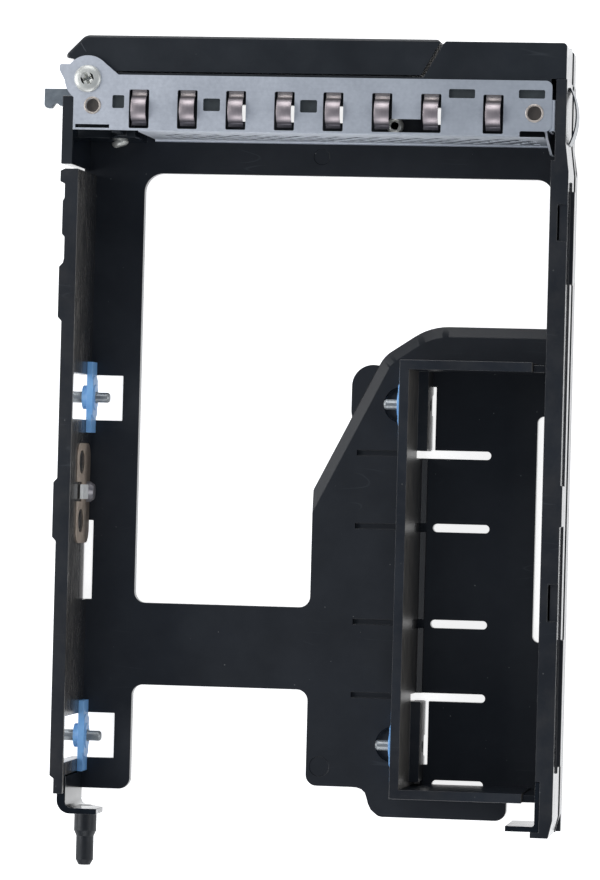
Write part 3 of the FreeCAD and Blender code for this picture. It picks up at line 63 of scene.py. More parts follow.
def add(material, kind, values=None, links=None, **settings):
    """Add a node to a material, with its settings, its plain values and its links."""
    node = material.node_tree.nodes.new(kind)
    for name, value in settings.items():
        setattr(node, name, value)
    for name, value in (values or {}).items():
        node.inputs[name].default_value = value
    for name, socket in (links or {}).items():
        material.node_tree.links.new(socket, node.inputs[name])
    return node


def blank_material(name):
    """A new material with nothing in it yet."""
    material = bpy.data.materials.new(name)
    material.use_nodes = True
    material.node_tree.nodes.clear()
    return material


def shade(material, node_names):
    """Give CAD nodes a finished material in place of the plain one."""
    for name in node_names:
        slots = nodes[name].material_slots
        if not slots:
            nodes[name].data.materials.append(material)
        for slot in slots:
            slot.material = material


def moulded_abs(name, deep, pale, dust, dust_cover, speck_cover, scratches, gloss, wall_gloss, rub_and_sheen):
    """Black PC/ABS: clouds of black, dust and specks on what faces up, glossier walls, and rubbed walls with
    a painted sheen, painted lighter towards the top.

    The colours are the plastic's darkest and palest black and its dust. The covers say how much of a
    face the dust, specks, scratches, and rubbing with its painted sheen take; the glosses are roughnesses.
    """
    abs_black = blank_material(name)
    place = add(abs_black, "ShaderNodeTexCoord")
    surface = add(abs_black, "ShaderNodeNewGeometry")
    at = place.outputs["Object"]

    # Clouds about 25 mm wide, from uneven grain and old fingerprints.
    cloud = add(abs_black, "ShaderNodeTexNoise", {"Scale": 40, "Detail": 5, "Roughness": 0.55},
                {"Vector": at})
    tint = add(abs_black, "ShaderNodeValToRGB", links={"Fac": cloud.outputs["Fac"]})
    tint.color_ramp.elements[0].position = 0.35
    tint.color_ramp.elements[0].color = linear(deep)
    tint.color_ramp.elements[1].position = 0.68
    tint.color_ramp.elements[1].color = linear(pale)

    # Dust settles in patches about 8 mm wide, on faces that look upwards.
    upward = add(abs_black, "ShaderNodeSeparateXYZ", links={"Vector": surface.outputs["Normal"]})
    lying = add(abs_black, "ShaderNodeMapRange", {"From Min": 0.4, "From Max": 0.9, "To Min": 0.0},
                {"Value": upward.outputs["Z"]})
    patch = add(abs_black, "ShaderNodeTexNoise", {"Scale": 120, "Detail": 7, "Roughness": 0.7},
                {"Vector": at})
    settled = add(abs_black, "ShaderNodeMapRange",
                  {"From Min": 0.42, "From Max": 0.72, "To Max": dust_cover},
                  {"Value": patch.outputs["Fac"]})
    film = add(abs_black, "ShaderNodeMath", {}, {0: settled.outputs["Result"], 1: lying.outputs["Result"]},
               operation="MULTIPLY")
    dust_and_sheen = add(abs_black, "ShaderNodeMix", {7: linear(dust)},
                {0: film.outputs["Value"], 6: tint.outputs["Color"]}, data_type="RGBA")

    # Dust and rubbing on walls that face the latch side, in soft streaks 0.7 mm apart, 5 mm long, which are
    # partly a painted sheen.
    drawn = add(abs_black, "ShaderNodeMapping", {"Scale": (1400, 200, 1400)}, {"Vector": at})
    streak = add(abs_black, "ShaderNodeTexNoise", {"Scale": 1, "Detail": 4, "Roughness": 0.5},
                 {"Vector": drawn.outputs["Vector"]})
    rub_and_painted_sheen = add(abs_black, "ShaderNodeMapRange", {"From Min": 0.15, "From Max": 1.05, "To Max": rub_and_sheen},
                 {"Value": streak.outputs["Fac"]})
    # The streaks are painted lighter towards the top of the wall: painted light, where more light reaches it.
    height = add(abs_black, "ShaderNodeSeparateXYZ", links={"Vector": at})
    painted_top_light = add(abs_black, "ShaderNodeMapRange",
                {"From Min": 0.006, "From Max": 0.026, "To Min": 0.35, "To Max": 1.5},
                {"Value": height.outputs["Z"]})
    rub_and_painted_sheen = add(abs_black, "ShaderNodeMath", {}, {0: rub_and_painted_sheen.outputs["Result"], 1: painted_top_light.outputs["Result"]},
                 operation="MULTIPLY")
    sideways = add(abs_black, "ShaderNodeMath", {1: -1.0}, {0: upward.outputs["X"]}, operation="MULTIPLY")
    sideways = add(abs_black, "ShaderNodeMapRange", {"From Min": 0.6, "From Max": 0.9},
                   {"Value": sideways.outputs["Value"]})
    rub_and_painted_sheen = add(abs_black, "ShaderNodeMath", {}, {0: rub_and_painted_sheen.outputs["Value"], 1: sideways.outputs["Result"]},
                 operation="MULTIPLY", use_clamp=True)
    dust_and_sheen = add(abs_black, "ShaderNodeMix", {7: linear("#9c968d")},
                {0: rub_and_painted_sheen.outputs["Value"], 6: dust_and_sheen.outputs[2]}, data_type="RGBA")

    # Specks of lint, up to 0.3 mm across, one in each cell of 1.6 mm; few are large enough to show.
    cells = add(abs_black, "ShaderNodeTexVoronoi", {"Scale": 620}, {"Vector": at})
    chance = add(abs_black, "ShaderNodeSeparateColor", links={"Color": cells.outputs["Color"]})
    reach = add(abs_black, "ShaderNodeMapRange", {"From Min": 1 - speck_cover, "To Max": 0.10},
                {"Value": chance.outputs["Red"]})
    speck = add(abs_black, "ShaderNodeMath", {}, {0: cells.outputs["Distance"], 1: reach.outputs["Result"]},
                operation="LESS_THAN")
    speck_tone = add(abs_black, "ShaderNodeMath", {1: 0.42}, {0: speck.outputs["Value"]},
                     operation="MULTIPLY")
    specked = add(abs_black, "ShaderNodeMix", {7: linear("#8d8f8e")},
                  {0: speck_tone.outputs["Value"], 6: dust_and_sheen.outputs[2]}, data_type="RGBA")

    # Hairline scratches, about 0.1 mm wide and 15 mm long, where a stretched noise crosses its middle.
    drawn_out = add(abs_black, "ShaderNodeMapping", {"Rotation": (0, 0, 1.1), "Scale": (40, 330, 40)},
                    {"Vector": at})
    strokes = add(abs_black, "ShaderNodeTexNoise", {"Scale": 1, "Detail": 0},
                  {"Vector": drawn_out.outputs["Vector"]})
    off_middle = add(abs_black, "ShaderNodeMath", {1: 0.5}, {0: strokes.outputs["Fac"]},
                     operation="SUBTRACT")
    off_middle = add(abs_black, "ShaderNodeMath", {}, {0: off_middle.outputs["Value"]},
                     operation="ABSOLUTE")
    hairline = add(abs_black, "ShaderNodeMapRange",
                   {"From Min": 0.0, "From Max": 0.012, "To Min": 1, "To Max": 0},
                   {"Value": off_middle.outputs["Value"]})
    worn = add(abs_black, "ShaderNodeTexNoise", {"Scale": 90, "Detail": 2}, {"Vector": at})
    worn = add(abs_black, "ShaderNodeMapRange", {"From Min": 0.58, "From Max": 0.7, "To Max": scratches},
               {"Value": worn.outputs["Fac"]})
    scratch = add(abs_black, "ShaderNodeMath", {}, {0: hairline.outputs["Result"], 1: worn.outputs["Result"]},
                  operation="MULTIPLY")
    marked = add(abs_black, "ShaderNodeMix", {7: linear("#7b8288")},
                 {0: scratch.outputs["Value"], 6: specked.outputs[2]}, data_type="RGBA")

    # The spark-eroded grain, 0.3 mm between its pits.
    grain = add(abs_black, "ShaderNodeTexNoise", {"Scale": 3300, "Detail": 2}, {"Vector": at})
    depth = add(abs_black, "ShaderNodeMapRange", {"To Min": 0.08, "To Max": 0.3},
                {"Value": lying.outputs["Result"]})
    bump = add(abs_black, "ShaderNodeBump", {"Distance": 0.00002},
               {"Height": grain.outputs["Fac"], "Strength": depth.outputs["Result"]})
    sheen = add(abs_black, "ShaderNodeMapRange", {"To Min": gloss - 0.06, "To Max": gloss + 0.1},
                {"Value": cloud.outputs["Fac"]})
    polish = add(abs_black, "ShaderNodeMapRange",
                 {"From Min": 0.35, "From Max": 0.75, "To Min": wall_gloss, "To Max": wall_gloss + 0.1},
                 {"Value": streak.outputs["Fac"]})
    rough = add(abs_black, "ShaderNodeMix", {},
                {0: lying.outputs["Result"], 2: polish.outputs["Result"], 3: sheen.outputs["Result"]})
    skin = add(abs_black, "ShaderNodeBsdfPrincipled", {"IOR": 1.54},
               {"Base Color": marked.outputs[2], "Roughness": rough.outputs["Result"],
                "Normal": bump.outputs["Normal"]})
    add(abs_black, "ShaderNodeOutputMaterial", links={"Surface": skin.outputs["BSDF"]})
    return abs_black


def merged_copy(name, material):
    """A copy of a CAD node as one skin with whole flat faces, ready to be shaped further."""
    piece = bpy.data.objects.new(f"{name}_finished", nodes[name].data.copy())
    bpy.context.scene.collection.objects.link(piece)
    piece.data.materials.clear()
    piece.data.materials.append(material)
    bpy.ops.object.select_all(action="DESELECT")
    bpy.context.view_layer.objects.active = piece
    piece.select_set(True)
    bpy.ops.object.mode_set(mode="EDIT")
    bpy.ops.mesh.select_all(action="SELECT")
    bpy.ops.mesh.customdata_custom_splitnormals_clear()
    bpy.ops.mesh.remove_doubles(threshold=0.000002)
    bpy.ops.mesh.dissolve_limited(angle_limit=math.radians(1))
    bpy.ops.object.mode_set(mode="OBJECT")
    for polygon in piece.data.polygons:
        polygon.material_index = 0
    return piece


def worked(piece, name, kind, **settings):
    """Work the piece in hand with one modifier, and keep the result."""
    step = piece.modifiers.new(name, kind)
    for setting, value in settings.items():
        setattr(step, setting, value)
    bpy.ops.object.modifier_apply(modifier=step.name)


def broken_edges(name, body, material, width, thin_sheet=False, piece=None):
    """A CAD node's shape with its sharp edges broken by a small round, as its tool leaves them.

    On thin sheet the rounds are held back, so that they don't run into each other.
    """
    piece = piece or merged_copy(name, material)
    worked(piece, "edge_round", "BEVEL", limit_method="ANGLE", angle_limit=math.radians(32), width=width,
           segments=2, use_clamp_overlap=thin_sheet)
    bpy.ops.object.shade_smooth_by_angle(angle=math.radians(38))
    worked(piece, "flat_faces", "WEIGHTED_NORMAL", keep_sharp=True)
    bpy.ops.object.select_all(action="DESELECT")
    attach(piece, body)
    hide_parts(name)
    return piece


tray_abs = moulded_abs("moulded_black_abs_tray", deep="#060c15", pale="#0d141e", dust="#565a5e",
                       dust_cover=0.05, speck_cover=0.2, scratches=0.09, gloss=0.46, wall_gloss=0.14,
                       rub_and_sheen=0.05)
tray = merged_copy("base_tray", tray_abs)
# The floor's rear shoulder beside the bracket is an S-shaped round, not a straight slant. Every edge
# of the tray is divided, and the slant's new corners are moved onto the round.
slant_start, slant_end = Vector((-0.00735, 0.14210)), Vector((-0.01425, 0.14800))
shoulder = [(-0.00860, 0.14210), (-0.00980, 0.14217), (-0.01090, 0.14250), (-0.01170, 0.14325),
            (-0.01212, 0.14440), (-0.01248, 0.14575), (-0.01315, 0.14705)]
bpy.ops.object.mode_set(mode="EDIT")
bpy.ops.mesh.select_mode(type="EDGE")
bpy.ops.mesh.select_all(action="SELECT")
bpy.ops.mesh.subdivide(number_cuts=len(shoulder))
bpy.ops.object.mode_set(mode="OBJECT")
slant = slant_end - slant_start
for number, (x, y) in enumerate(shoulder, 1):
    spot = slant_start + slant * number / (len(shoulder) + 1)
    for corner in tray.data.vertices:
        if (corner.co.xy - spot).length < 0.0001:
            corner.co.x, corner.co.y = x, y
# The floor's edge is set in under the side spring, in line with the rail above it.
floor_side, set_in_end, rail_start = -0.0553, -0.0023, 0.0030
for cut in (set_in_end, rail_start):
    bpy.ops.object.mode_set(mode="EDIT")
    bpy.ops.mesh.select_all(action="SELECT")
    bpy.ops.mesh.bisect(plane_co=(0, cut, 0), plane_no=(0, 1, 0))
    bpy.ops.object.mode_set(mode="OBJECT")
for corner in tray.data.vertices:
    if corner.co.x < floor_side - 0.0001 and corner.co.y < set_in_end + 0.0001:
        corner.co.x = floor_side
broken_edges("base_tray", "tray", tray_abs, 0.00012, piece=tray)


# ---- Side rails -------------------------------------------------------------------------------
# The two walls along the tray, moulded in the same black. They slide in the server's guides, so
# they carry more dust and rubbed streaks than the floor does, and more of the streaks' painted sheen.

rail_abs = moulded_abs("moulded_black_abs_rail", deep="#060c15", pale="#0e151e", dust="#6b6660",
                       dust_cover=0.10, speck_cover=0.25, scratches=0.12, gloss=0.44, wall_gloss=0.10,
                       rub_and_sheen=0.08)
# The drive rubs along the pivot rail's inner wall each time it goes in; the strong streaks there are partly a
# painted sheen, painted lighter towards the top.
worn_abs_painted_sheen = moulded_abs("moulded_black_abs_worn_and_painted_sheen", deep="#060c15", pale="#0e151e", dust="#6b6660",
                       dust_cover=0.10, speck_cover=0.25, scratches=0.12, gloss=0.44, wall_gloss=0.20,
                       rub_and_sheen=0.45)
broken_edges("pivot_side_rail", "tray", worn_abs_painted_sheen, 0.00015)
broken_edges("latch_side_rail", "tray", rail_abs, 0.00015)


# ---- Light pipes ------------------------------------------------------------------------------
# Two clear rods that carry the status lamps' light to the front. They are moulded in acrylic and
# clipped in the latch rail's channel.

# Polished and clear, with faint waves about 2 mm apart where it shrank in the mould.
clear_acrylic = blank_material("moulded_clear_acrylic")
place = add(clear_acrylic, "ShaderNodeTexCoord")
ripple = add(clear_acrylic, "ShaderNodeTexNoise", {"Scale": 500, "Detail": 3},
             {"Vector": place.outputs["Object"]})
haze = add(clear_acrylic, "ShaderNodeMapRange", {"To Min": 0.12, "To Max": 0.2},
           {"Value": ripple.outputs["Fac"]})
waves = add(clear_acrylic, "ShaderNodeBump", {"Strength": 0.05, "Distance": 0.00003},
            {"Height": ripple.outputs["Fac"]})
skin = add(clear_acrylic, "ShaderNodeBsdfPrincipled",
           {"Base Color": linear("#e6ecee"), "IOR": 1.49, "Transmission Weight": 0.85},
           {"Roughness": haze.outputs["Result"], "Normal": waves.outputs["Normal"]})
add(clear_acrylic, "ShaderNodeOutputMaterial", links={"Surface": skin.outputs["BSDF"]})
shade(clear_acrylic, ["light_pipe_lower", "light_pipe_upper"])


# ---- Adapter bracket --------------------------------------------------------------------------
# The wall that holds the drive's other side, moulded apart in the same black and clipped into the
# tray's slots. Dust lies on its floor, and drives have rubbed its walls, which also carry a painted sheen
# that is lighter towards the top.

bracket_abs = moulded_abs("moulded_black_abs_bracket", deep="#070d16", pale="#101822", dust="#6b6660",
                          dust_cover=0.08, speck_cover=0.3, scratches=0.10, gloss=0.42, wall_gloss=0.30,
                          rub_and_sheen=0.65)
bracket = merged_copy("adapter_bracket", bracket_abs)
# Each pin boss runs straight down to the floor beside its slot, without a step under its top.
foot_side, foot_width = -0.023725, 0.00225
foot_bottom, foot_top = 0.0025, 0.0116
for near, far in ((0.0655, 0.06595), (0.12195, 0.1224)):
    bpy.ops.object.select_all(action="DESELECT")
    bpy.ops.mesh.primitive_cube_add(
        size=1, location=(foot_side, (near + far) / 2, (foot_bottom + foot_top) / 2))
    foot = bpy.context.object
    foot.scale = (foot_width, far - near, foot_top - foot_bottom)
    bpy.ops.object.transform_apply(location=True, scale=True)
    bpy.ops.object.select_all(action="DESELECT")
    bpy.context.view_layer.objects.active = bracket
    bracket.select_set(True)
    worked(bracket, "boss_foot", "BOOLEAN", object=foot, operation="UNION", solver="EXACT")
    bpy.data.objects.remove(foot)
# Where a foot meets its boss, what is left of their shared edges goes.
bpy.ops.object.mode_set(mode="EDIT")
bpy.ops.mesh.select_all(action="SELECT")
bpy.ops.mesh.remove_doubles(threshold=0.00003)
bpy.ops.mesh.dissolve_limited(angle_limit=math.radians(1))
bpy.ops.object.mode_set(mode="OBJECT")
broken_edges("adapter_bracket", "tray", bracket_abs, 0.00012, piece=bracket)


# ---- Pads and pins ----------------------------------------------------------------------------
# Four light blue polypropylene pads damp the drive; they are moulded and pressed into the walls.
# A turned steel pin stands in each and enters the drive's side hole.

# Soft, waxy and slightly cloudy, with a fine moulded grain.
blue_pp = blank_material("moulded_blue_polypropylene")
place = add(blue_pp, "ShaderNodeTexCoord")
cloud = add(blue_pp, "ShaderNodeTexNoise", {"Scale": 260, "Detail": 4}, {"Vector": place.outputs["Object"]})
tint = add(blue_pp, "ShaderNodeValToRGB", links={"Fac": cloud.outputs["Fac"]})
tint.color_ramp.elements[0].position = 0.3
tint.color_ramp.elements[0].color = linear("#6ea6e0")
tint.color_ramp.elements[1].position = 0.75
tint.color_ramp.elements[1].color = linear("#8ec0f0")
fine = add(blue_pp, "ShaderNodeTexNoise", {"Scale": 4000, "Detail": 2}, {"Vector": place.outputs["Object"]})
bump = add(blue_pp, "ShaderNodeBump", {"Strength": 0.2, "Distance": 0.00001},
           {"Height": fine.outputs["Fac"]})
skin = add(blue_pp, "ShaderNodeBsdfPrincipled",
           {"Roughness": 0.42, "IOR": 1.49, "Subsurface Weight": 0.15,
            "Subsurface Radius": (0.0006, 0.0008, 0.001)},
           {"Base Color": tint.outputs["Color"], "Normal": bump.outputs["Normal"]})
add(blue_pp, "ShaderNodeOutputMaterial", links={"Surface": skin.outputs["BSDF"]})
for pad in ("bay_pad_front", "bay_pad_rear", "bracket_pad_front", "bracket_pad_rear"):
    broken_edges(pad, "tray", blue_pp, 0.00012)


def worked_metal(name, deep, pale, grain_scale, cover, gloss, spread, stretch=(1, 1, 1), base=1.0):
    """Bare or plated metal: its mottling, the direction of its working, and smudges in its gloss."""
    metal = blank_material(name)
    place = add(metal, "ShaderNodeTexCoord")
    along = add(metal, "ShaderNodeMapping", {"Scale": stretch}, {"Vector": place.outputs["Object"]})
    mottle = add(metal, "ShaderNodeTexNoise", {"Scale": grain_scale, "Detail": 5, "Roughness": 0.6},
                 {"Vector": along.outputs["Vector"]})
    tint = add(metal, "ShaderNodeValToRGB", links={"Fac": mottle.outputs["Fac"]})
    tint.color_ramp.elements[0].position = 0.5 - cover
    tint.color_ramp.elements[0].color = linear(deep)
    tint.color_ramp.elements[1].position = 0.5 + cover
    tint.color_ramp.elements[1].color = linear(pale)
    smudge = add(metal, "ShaderNodeTexNoise", {"Scale": 130, "Detail": 3},
                 {"Vector": place.outputs["Object"]})
    rough = add(metal, "ShaderNodeMapRange",
                {"From Min": 0.3, "From Max": 0.7, "To Min": gloss - spread, "To Max": gloss + spread},
                {"Value": smudge.outputs["Fac"]})
    bump = add(metal, "ShaderNodeBump", {"Strength": 0.15, "Distance": 0.00001},
               {"Height": mottle.outputs["Fac"]})
    skin = add(metal, "ShaderNodeBsdfPrincipled", {"Metallic": base},
               {"Base Color": tint.outputs["Color"], "Roughness": rough.outputs["Result"],
                "Normal": bump.outputs["Normal"]})
    add(metal, "ShaderNodeOutputMaterial", links={"Surface": skin.outputs["BSDF"]})
    return metal


# Turning leaves fine rings round the pin, about 0.1 mm apart, and a satin grey.
pin_steel = worked_metal("turned_steel", deep="#8a8f93", pale="#aeb2b4", grain_scale=9000, cover=0.25,
                         gloss=0.46, spread=0.06, stretch=(1, 0.1, 0.1), base=0.8)
shade(pin_steel, ["bay_pin_front", "bay_pin_rear", "bracket_pin_front", "bracket_pin_rear"])


# ---- Contact plate and stand-off --------------------------------------------------------------
# A bronze earthing leaf lies on the tray's floor, dull with dust and painted shade, and a nickel-plated
# clip, painted bright as a painted reflection, and a screw hold it beside the bracket.

# Bronze leaf gone brown and matt, in blotches about 2 mm wide.
bronze_dust_and_painted_shade = blank_material("bronze_leaf_dust_and_painted_shade")
place = add(bronze_dust_and_painted_shade, "ShaderNodeTexCoord")
cloud = add(bronze_dust_and_painted_shade, "ShaderNodeTexNoise", {"Scale": 420, "Detail": 6, "Roughness": 0.7},
            {"Vector": place.outputs["Object"]})
tint = add(bronze_dust_and_painted_shade, "ShaderNodeValToRGB", links={"Fac": cloud.outputs["Fac"]})
tint.color_ramp.elements[0].position = 0.3
tint.color_ramp.elements[0].color = linear("#8a7b6e")
tint.color_ramp.elements[1].position = 0.7
tint.color_ramp.elements[1].color = linear("#c2b3a4")
# Its lower half is darker: partly dust lying against the floor, partly painted shade from the carrier.
height = add(bronze_dust_and_painted_shade, "ShaderNodeSeparateXYZ", links={"Vector": place.outputs["Object"]})
dust_and_painted_shade = add(bronze_dust_and_painted_shade, "ShaderNodeMapRange",
           {"From Min": 0.0065, "From Max": 0.0105, "To Min": 0.75, "To Max": 0},
           {"Value": height.outputs["Z"]})
tint = add(bronze_dust_and_painted_shade, "ShaderNodeMix", {7: linear("#4d4540")},
           {0: dust_and_painted_shade.outputs["Result"], 6: tint.outputs["Color"]}, data_type="RGBA")
skin = add(bronze_dust_and_painted_shade, "ShaderNodeBsdfPrincipled", {"Roughness": 0.55, "Metallic": 0.45},
           {"Base Color": tint.outputs[2]})
add(bronze_dust_and_painted_shade, "ShaderNodeOutputMaterial", links={"Surface": skin.outputs["BSDF"]})
plate = merged_copy("contact_plate", bronze_dust_and_painted_shade)
# Each hole is only a little taller than it is long, so its lower end is drawn up.
hole_half, hole_foot, hole_middle, drawn_up = 0.00265, 0.0049, 0.00765, 0.0047
for along in (0.07035, 0.08355):
    for corner in plate.data.vertices:
        if abs(corner.co.y - along) < hole_half and hole_foot < corner.co.z < hole_middle:
            corner.co.z += drawn_up
broken_edges("contact_plate", "tray", bronze_dust_and_painted_shade, 0.0001, piece=plate)

# Nickel plate over a headed blank: pale, slightly warm, with small blotches.
nickel = worked_metal("nickel_plated_steel", deep="#c6c8c4", pale="#dcdcd7", grain_scale=700, cover=0.25,
                      gloss=0.42, spread=0.08, base=0.6)
# Old nickel on the stand-off's screw has gone grey; the clip is pale nickel painted nearly white, a painted
# reflection of the pale floor it faces, and nearly unmarked.
dull_nickel = worked_metal("tarnished_nickel", deep="#77757a", pale="#a09da0", grain_scale=900, cover=0.3,
                           gloss=0.4, spread=0.08, base=0.6)
shade(dull_nickel, ["standoff_screw"])
clip_nickel_painted_bright = worked_metal("nickel_clip_painted_reflection", deep="#f2f2ef", pale="#fdfdfb", grain_scale=700,
                             cover=0.25, gloss=0.3, spread=0.05, base=0.1)
broken_edges("standoff_clip", "tray", clip_nickel_painted_bright, 0.00012)


# ---- End cap and release button ---------------------------------------------------------------
# The frame behind the front, with the cap at the latch end: one moulding in a smoother black. The
# button slides in the cap on a small coil spring.

cap_abs = moulded_abs("moulded_black_abs_front", deep="#0a1017", pale="#10171f", dust="#5f6366",
                      dust_cover=0.05, speck_cover=0.10, scratches=0.06, gloss=0.42, wall_gloss=0.12,
                      rub_and_sheen=0.0)
broken_edges("bezel_frame", "tray", cap_abs, 0.00018)
broken_edges("release_button", "button", cap_abs, 0.00015)

# Drawn spring wire has a smooth dark shine, with the die's lines along it.
spring_wire = worked_metal("drawn_spring_wire", deep="#7d8084", pale="#a4a7aa", grain_scale=1500,
                           cover=0.3, gloss=0.3, spread=0.06)
spring = merged_copy("button_spring", spring_wire)
bpy.ops.object.shade_smooth_by_angle(angle=math.radians(60))
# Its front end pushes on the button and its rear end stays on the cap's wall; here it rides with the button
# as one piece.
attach(spring, "button")
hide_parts("button_spring")
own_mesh(spring)
bpy.ops.object.select_all(action="DESELECT")


# ---- Shield -----------------------------------------------------------------------------------
# Zinc-plated sheet steel, punched and folded, with a honeycomb in its rear face. It lies on the
# rails behind the lever, under the pivot screw's head.

# Plating over rolled sheet: a satin blue-grey, mottled, with faint lines along the sheet.
zinc = blank_material("zinc_plated_sheet")
place = add(zinc, "ShaderNodeTexCoord")
mottle = add(zinc, "ShaderNodeTexNoise", {"Scale": 1100, "Detail": 5, "Roughness": 0.6},
             {"Vector": place.outputs["Object"]})
stretched = add(zinc, "ShaderNodeMapping", {"Scale": (220, 2600, 2600)}, {"Vector": place.outputs["Object"]})
rolling = add(zinc, "ShaderNodeTexNoise", {"Scale": 1, "Detail": 3}, {"Vector": stretched.outputs["Vector"]})
both = add(zinc, "ShaderNodeMix", {0: 0.2}, {2: mottle.outputs["Fac"], 3: rolling.outputs["Fac"]})
tint = add(zinc, "ShaderNodeValToRGB", links={"Fac": both.outputs["Result"]})
tint.color_ramp.elements[0].position = 0.35
tint.color_ramp.elements[0].color = linear("#c2c7d0")
tint.color_ramp.elements[1].position = 0.65
tint.color_ramp.elements[1].color = linear("#d0d5de")
# The sheet is painted darker towards the latch end and lighter towards the pivot end, as a painted reflection
# that falls off along it.
across = add(zinc, "ShaderNodeSeparateXYZ", links={"Vector": place.outputs["Object"]})
dust_and_painted_shade = add(zinc, "ShaderNodeMapRange", {"From Min": -0.05, "From Max": 0.045, "To Min": 0.62, "To Max": 0},
           {"Value": across.outputs["X"]})
tint = add(zinc, "ShaderNodeMix", {7: linear("#8d959f")},
           {0: dust_and_painted_shade.outputs["Result"], 6: tint.outputs["Color"]}, data_type="RGBA")
smudge = add(zinc, "ShaderNodeTexNoise", {"Scale": 90, "Detail": 4}, {"Vector": place.outputs["Object"]})
rough = add(zinc, "ShaderNodeMapRange", {"From Min": 0.3, "From Max": 0.7, "To Min": 0.40, "To Max": 0.54},
            {"Value": smudge.outputs["Fac"]})
bump = add(zinc, "ShaderNodeBump", {"Strength": 0.12, "Distance": 0.00001},
           {"Height": rolling.outputs["Fac"]})
skin = add(zinc, "ShaderNodeBsdfPrincipled", {"Metallic": 0.5},
           {"Base Color": tint.outputs[2], "Roughness": rough.outputs["Result"],
            "Normal": bump.outputs["Normal"]})
add(zinc, "ShaderNodeOutputMaterial", links={"Surface": skin.outputs["BSDF"]})
shield = broken_edges("shield_plate", "tray", zinc, 0.00008, thin_sheet=True)
# The rear face is folded on a tight bend, so it stands close behind the plate's last opening.
bend_start, bend_end, draw_in = -0.0037, -0.0024, 0.0009
for corner in shield.data.vertices:
    if corner.co.y > bend_end:
        corner.co.y -= draw_in
    elif corner.co.y > bend_start:
        corner.co.y -= draw_in * (corner.co.y - bend_start) / (bend_end - bend_start)
# The latch-side hole was opened out when its neck was drawn.
latch_hole, hole_reach, opened_by = Vector((-0.0483, -0.0087)), 0.0015, 0.32
for corner in shield.data.vertices:
    outward = corner.co.xy - latch_hole
    if outward.length < hole_reach:
        corner.co.x += opened_by * outward.x
        corner.co.y += opened_by * outward.y

# A dark insulating film under the plate shows through its small openings: matt, faintly cloudy.
film_grey = blank_material("insulating_film")
place = add(film_grey, "ShaderNodeTexCoord")
cloud = add(film_grey, "ShaderNodeTexNoise", {"Scale": 350, "Detail": 4},
            {"Vector": place.outputs["Object"]})
tint = add(film_grey, "ShaderNodeValToRGB", links={"Fac": cloud.outputs["Fac"]})
tint.color_ramp.elements[0].position = 0.3
tint.color_ramp.elements[0].color = linear("#24292c")
tint.color_ramp.elements[1].position = 0.7
tint.color_ramp.elements[1].color = linear("#343b3e")
skin = add(film_grey, "ShaderNodeBsdfPrincipled", {"Roughness": 0.5},
           {"Base Color": tint.outputs["Color"]})
add(film_grey, "ShaderNodeOutputMaterial", links={"Surface": skin.outputs["BSDF"]})


def sheet_blank(width, length, middle):
    """A flat blank of sheet, cut to size where it belongs, and open for editing."""
    bpy.ops.object.select_all(action="DESELECT")
    bpy.ops.mesh.primitive_plane_add(size=1, location=(0, 0, 0))
    bpy.ops.object.mode_set(mode="EDIT")
    bpy.ops.mesh.select_all(action="SELECT")
    bpy.ops.transform.resize(value=(width, length, 1))
    bpy.ops.transform.translate(value=middle)
    return bpy.context.object


film_height, film_lap, film_thickness = 0.02594, 0.0009, 0.00006
patches = []
for x, y, width, length in ((0.0445, -0.0099, 0.0027, 0.0029), (0.0235, -0.0095, 0.0038, 0.0028),
                            (0.0018, -0.0095, 0.0038, 0.0028), (-0.0322, -0.0128, 0.0058, 0.0020),
                            (-0.04765, -0.0129, 0.0058, 0.0019)):
    patches.append(sheet_blank(width + film_lap, length + film_lap, (x, y, film_height)))
    bpy.ops.object.mode_set(mode="OBJECT")
for patch in patches:
    patch.select_set(True)
bpy.context.view_layer.objects.active = patches[0]
bpy.ops.object.join()
film = bpy.context.object
film.name = "shield_insulating_film"
film.data.materials.append(film_grey)
worked(film, "film_gauge", "SOLIDIFY", thickness=film_thickness, offset=0)
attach(film, "tray")
bpy.ops.object.select_all(action="DESELECT")


def pick(piece, kind, chosen):
    """Open a piece for editing with only the faces, or the edges, that pass a test selected."""
    bpy.ops.object.mode_set(mode="EDIT")
    bpy.ops.mesh.select_mode(type=kind)
    bpy.ops.mesh.select_all(action="DESELECT")
    bpy.ops.object.mode_set(mode="OBJECT")
    for element in piece.data.polygons if kind == "FACE" else piece.data.edges:
        element.select = chosen(element)
    bpy.ops.object.mode_set(mode="EDIT")


# The plate's latch-side edge is rolled over into a flange that stands in the rail's relief.
roll_middle, roll_width, roll_length, roll_thickness = (-0.0519, -0.0083, 0.02632), 0.0004, 0.0068, 0.0003
flange = sheet_blank(roll_width, roll_length, roll_middle)
flange.name = "shield_side_roll"
pick(flange, "EDGE", lambda edge: all(
    flange.data.vertices[corner].co.x < roll_middle[0] for corner in edge.vertices))
for across, down in ((0.00025, 0.00005), (0.0002, 0.00016), (0.00012, 0.00025), (0.00003, 0.0004),
                     (0, 0.0072)):
    bpy.ops.mesh.extrude_edges_move(TRANSFORM_OT_translate={"value": (-across, 0, -down)})
bpy.ops.object.mode_set(mode="OBJECT")
flange.data.materials.append(zinc)
worked(flange, "sheet_gauge", "SOLIDIFY", thickness=roll_thickness, offset=0)
bpy.ops.object.shade_smooth_by_angle(angle=math.radians(40))
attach(flange, "tray")
bpy.ops.object.select_all(action="DESELECT")


# ---- Threaded holes in the shield -------------------------------------------------------------
# The sheet is drawn up round its two spare screw holes, which leaves a bright rolled lip and a
# short neck to cut the thread in.

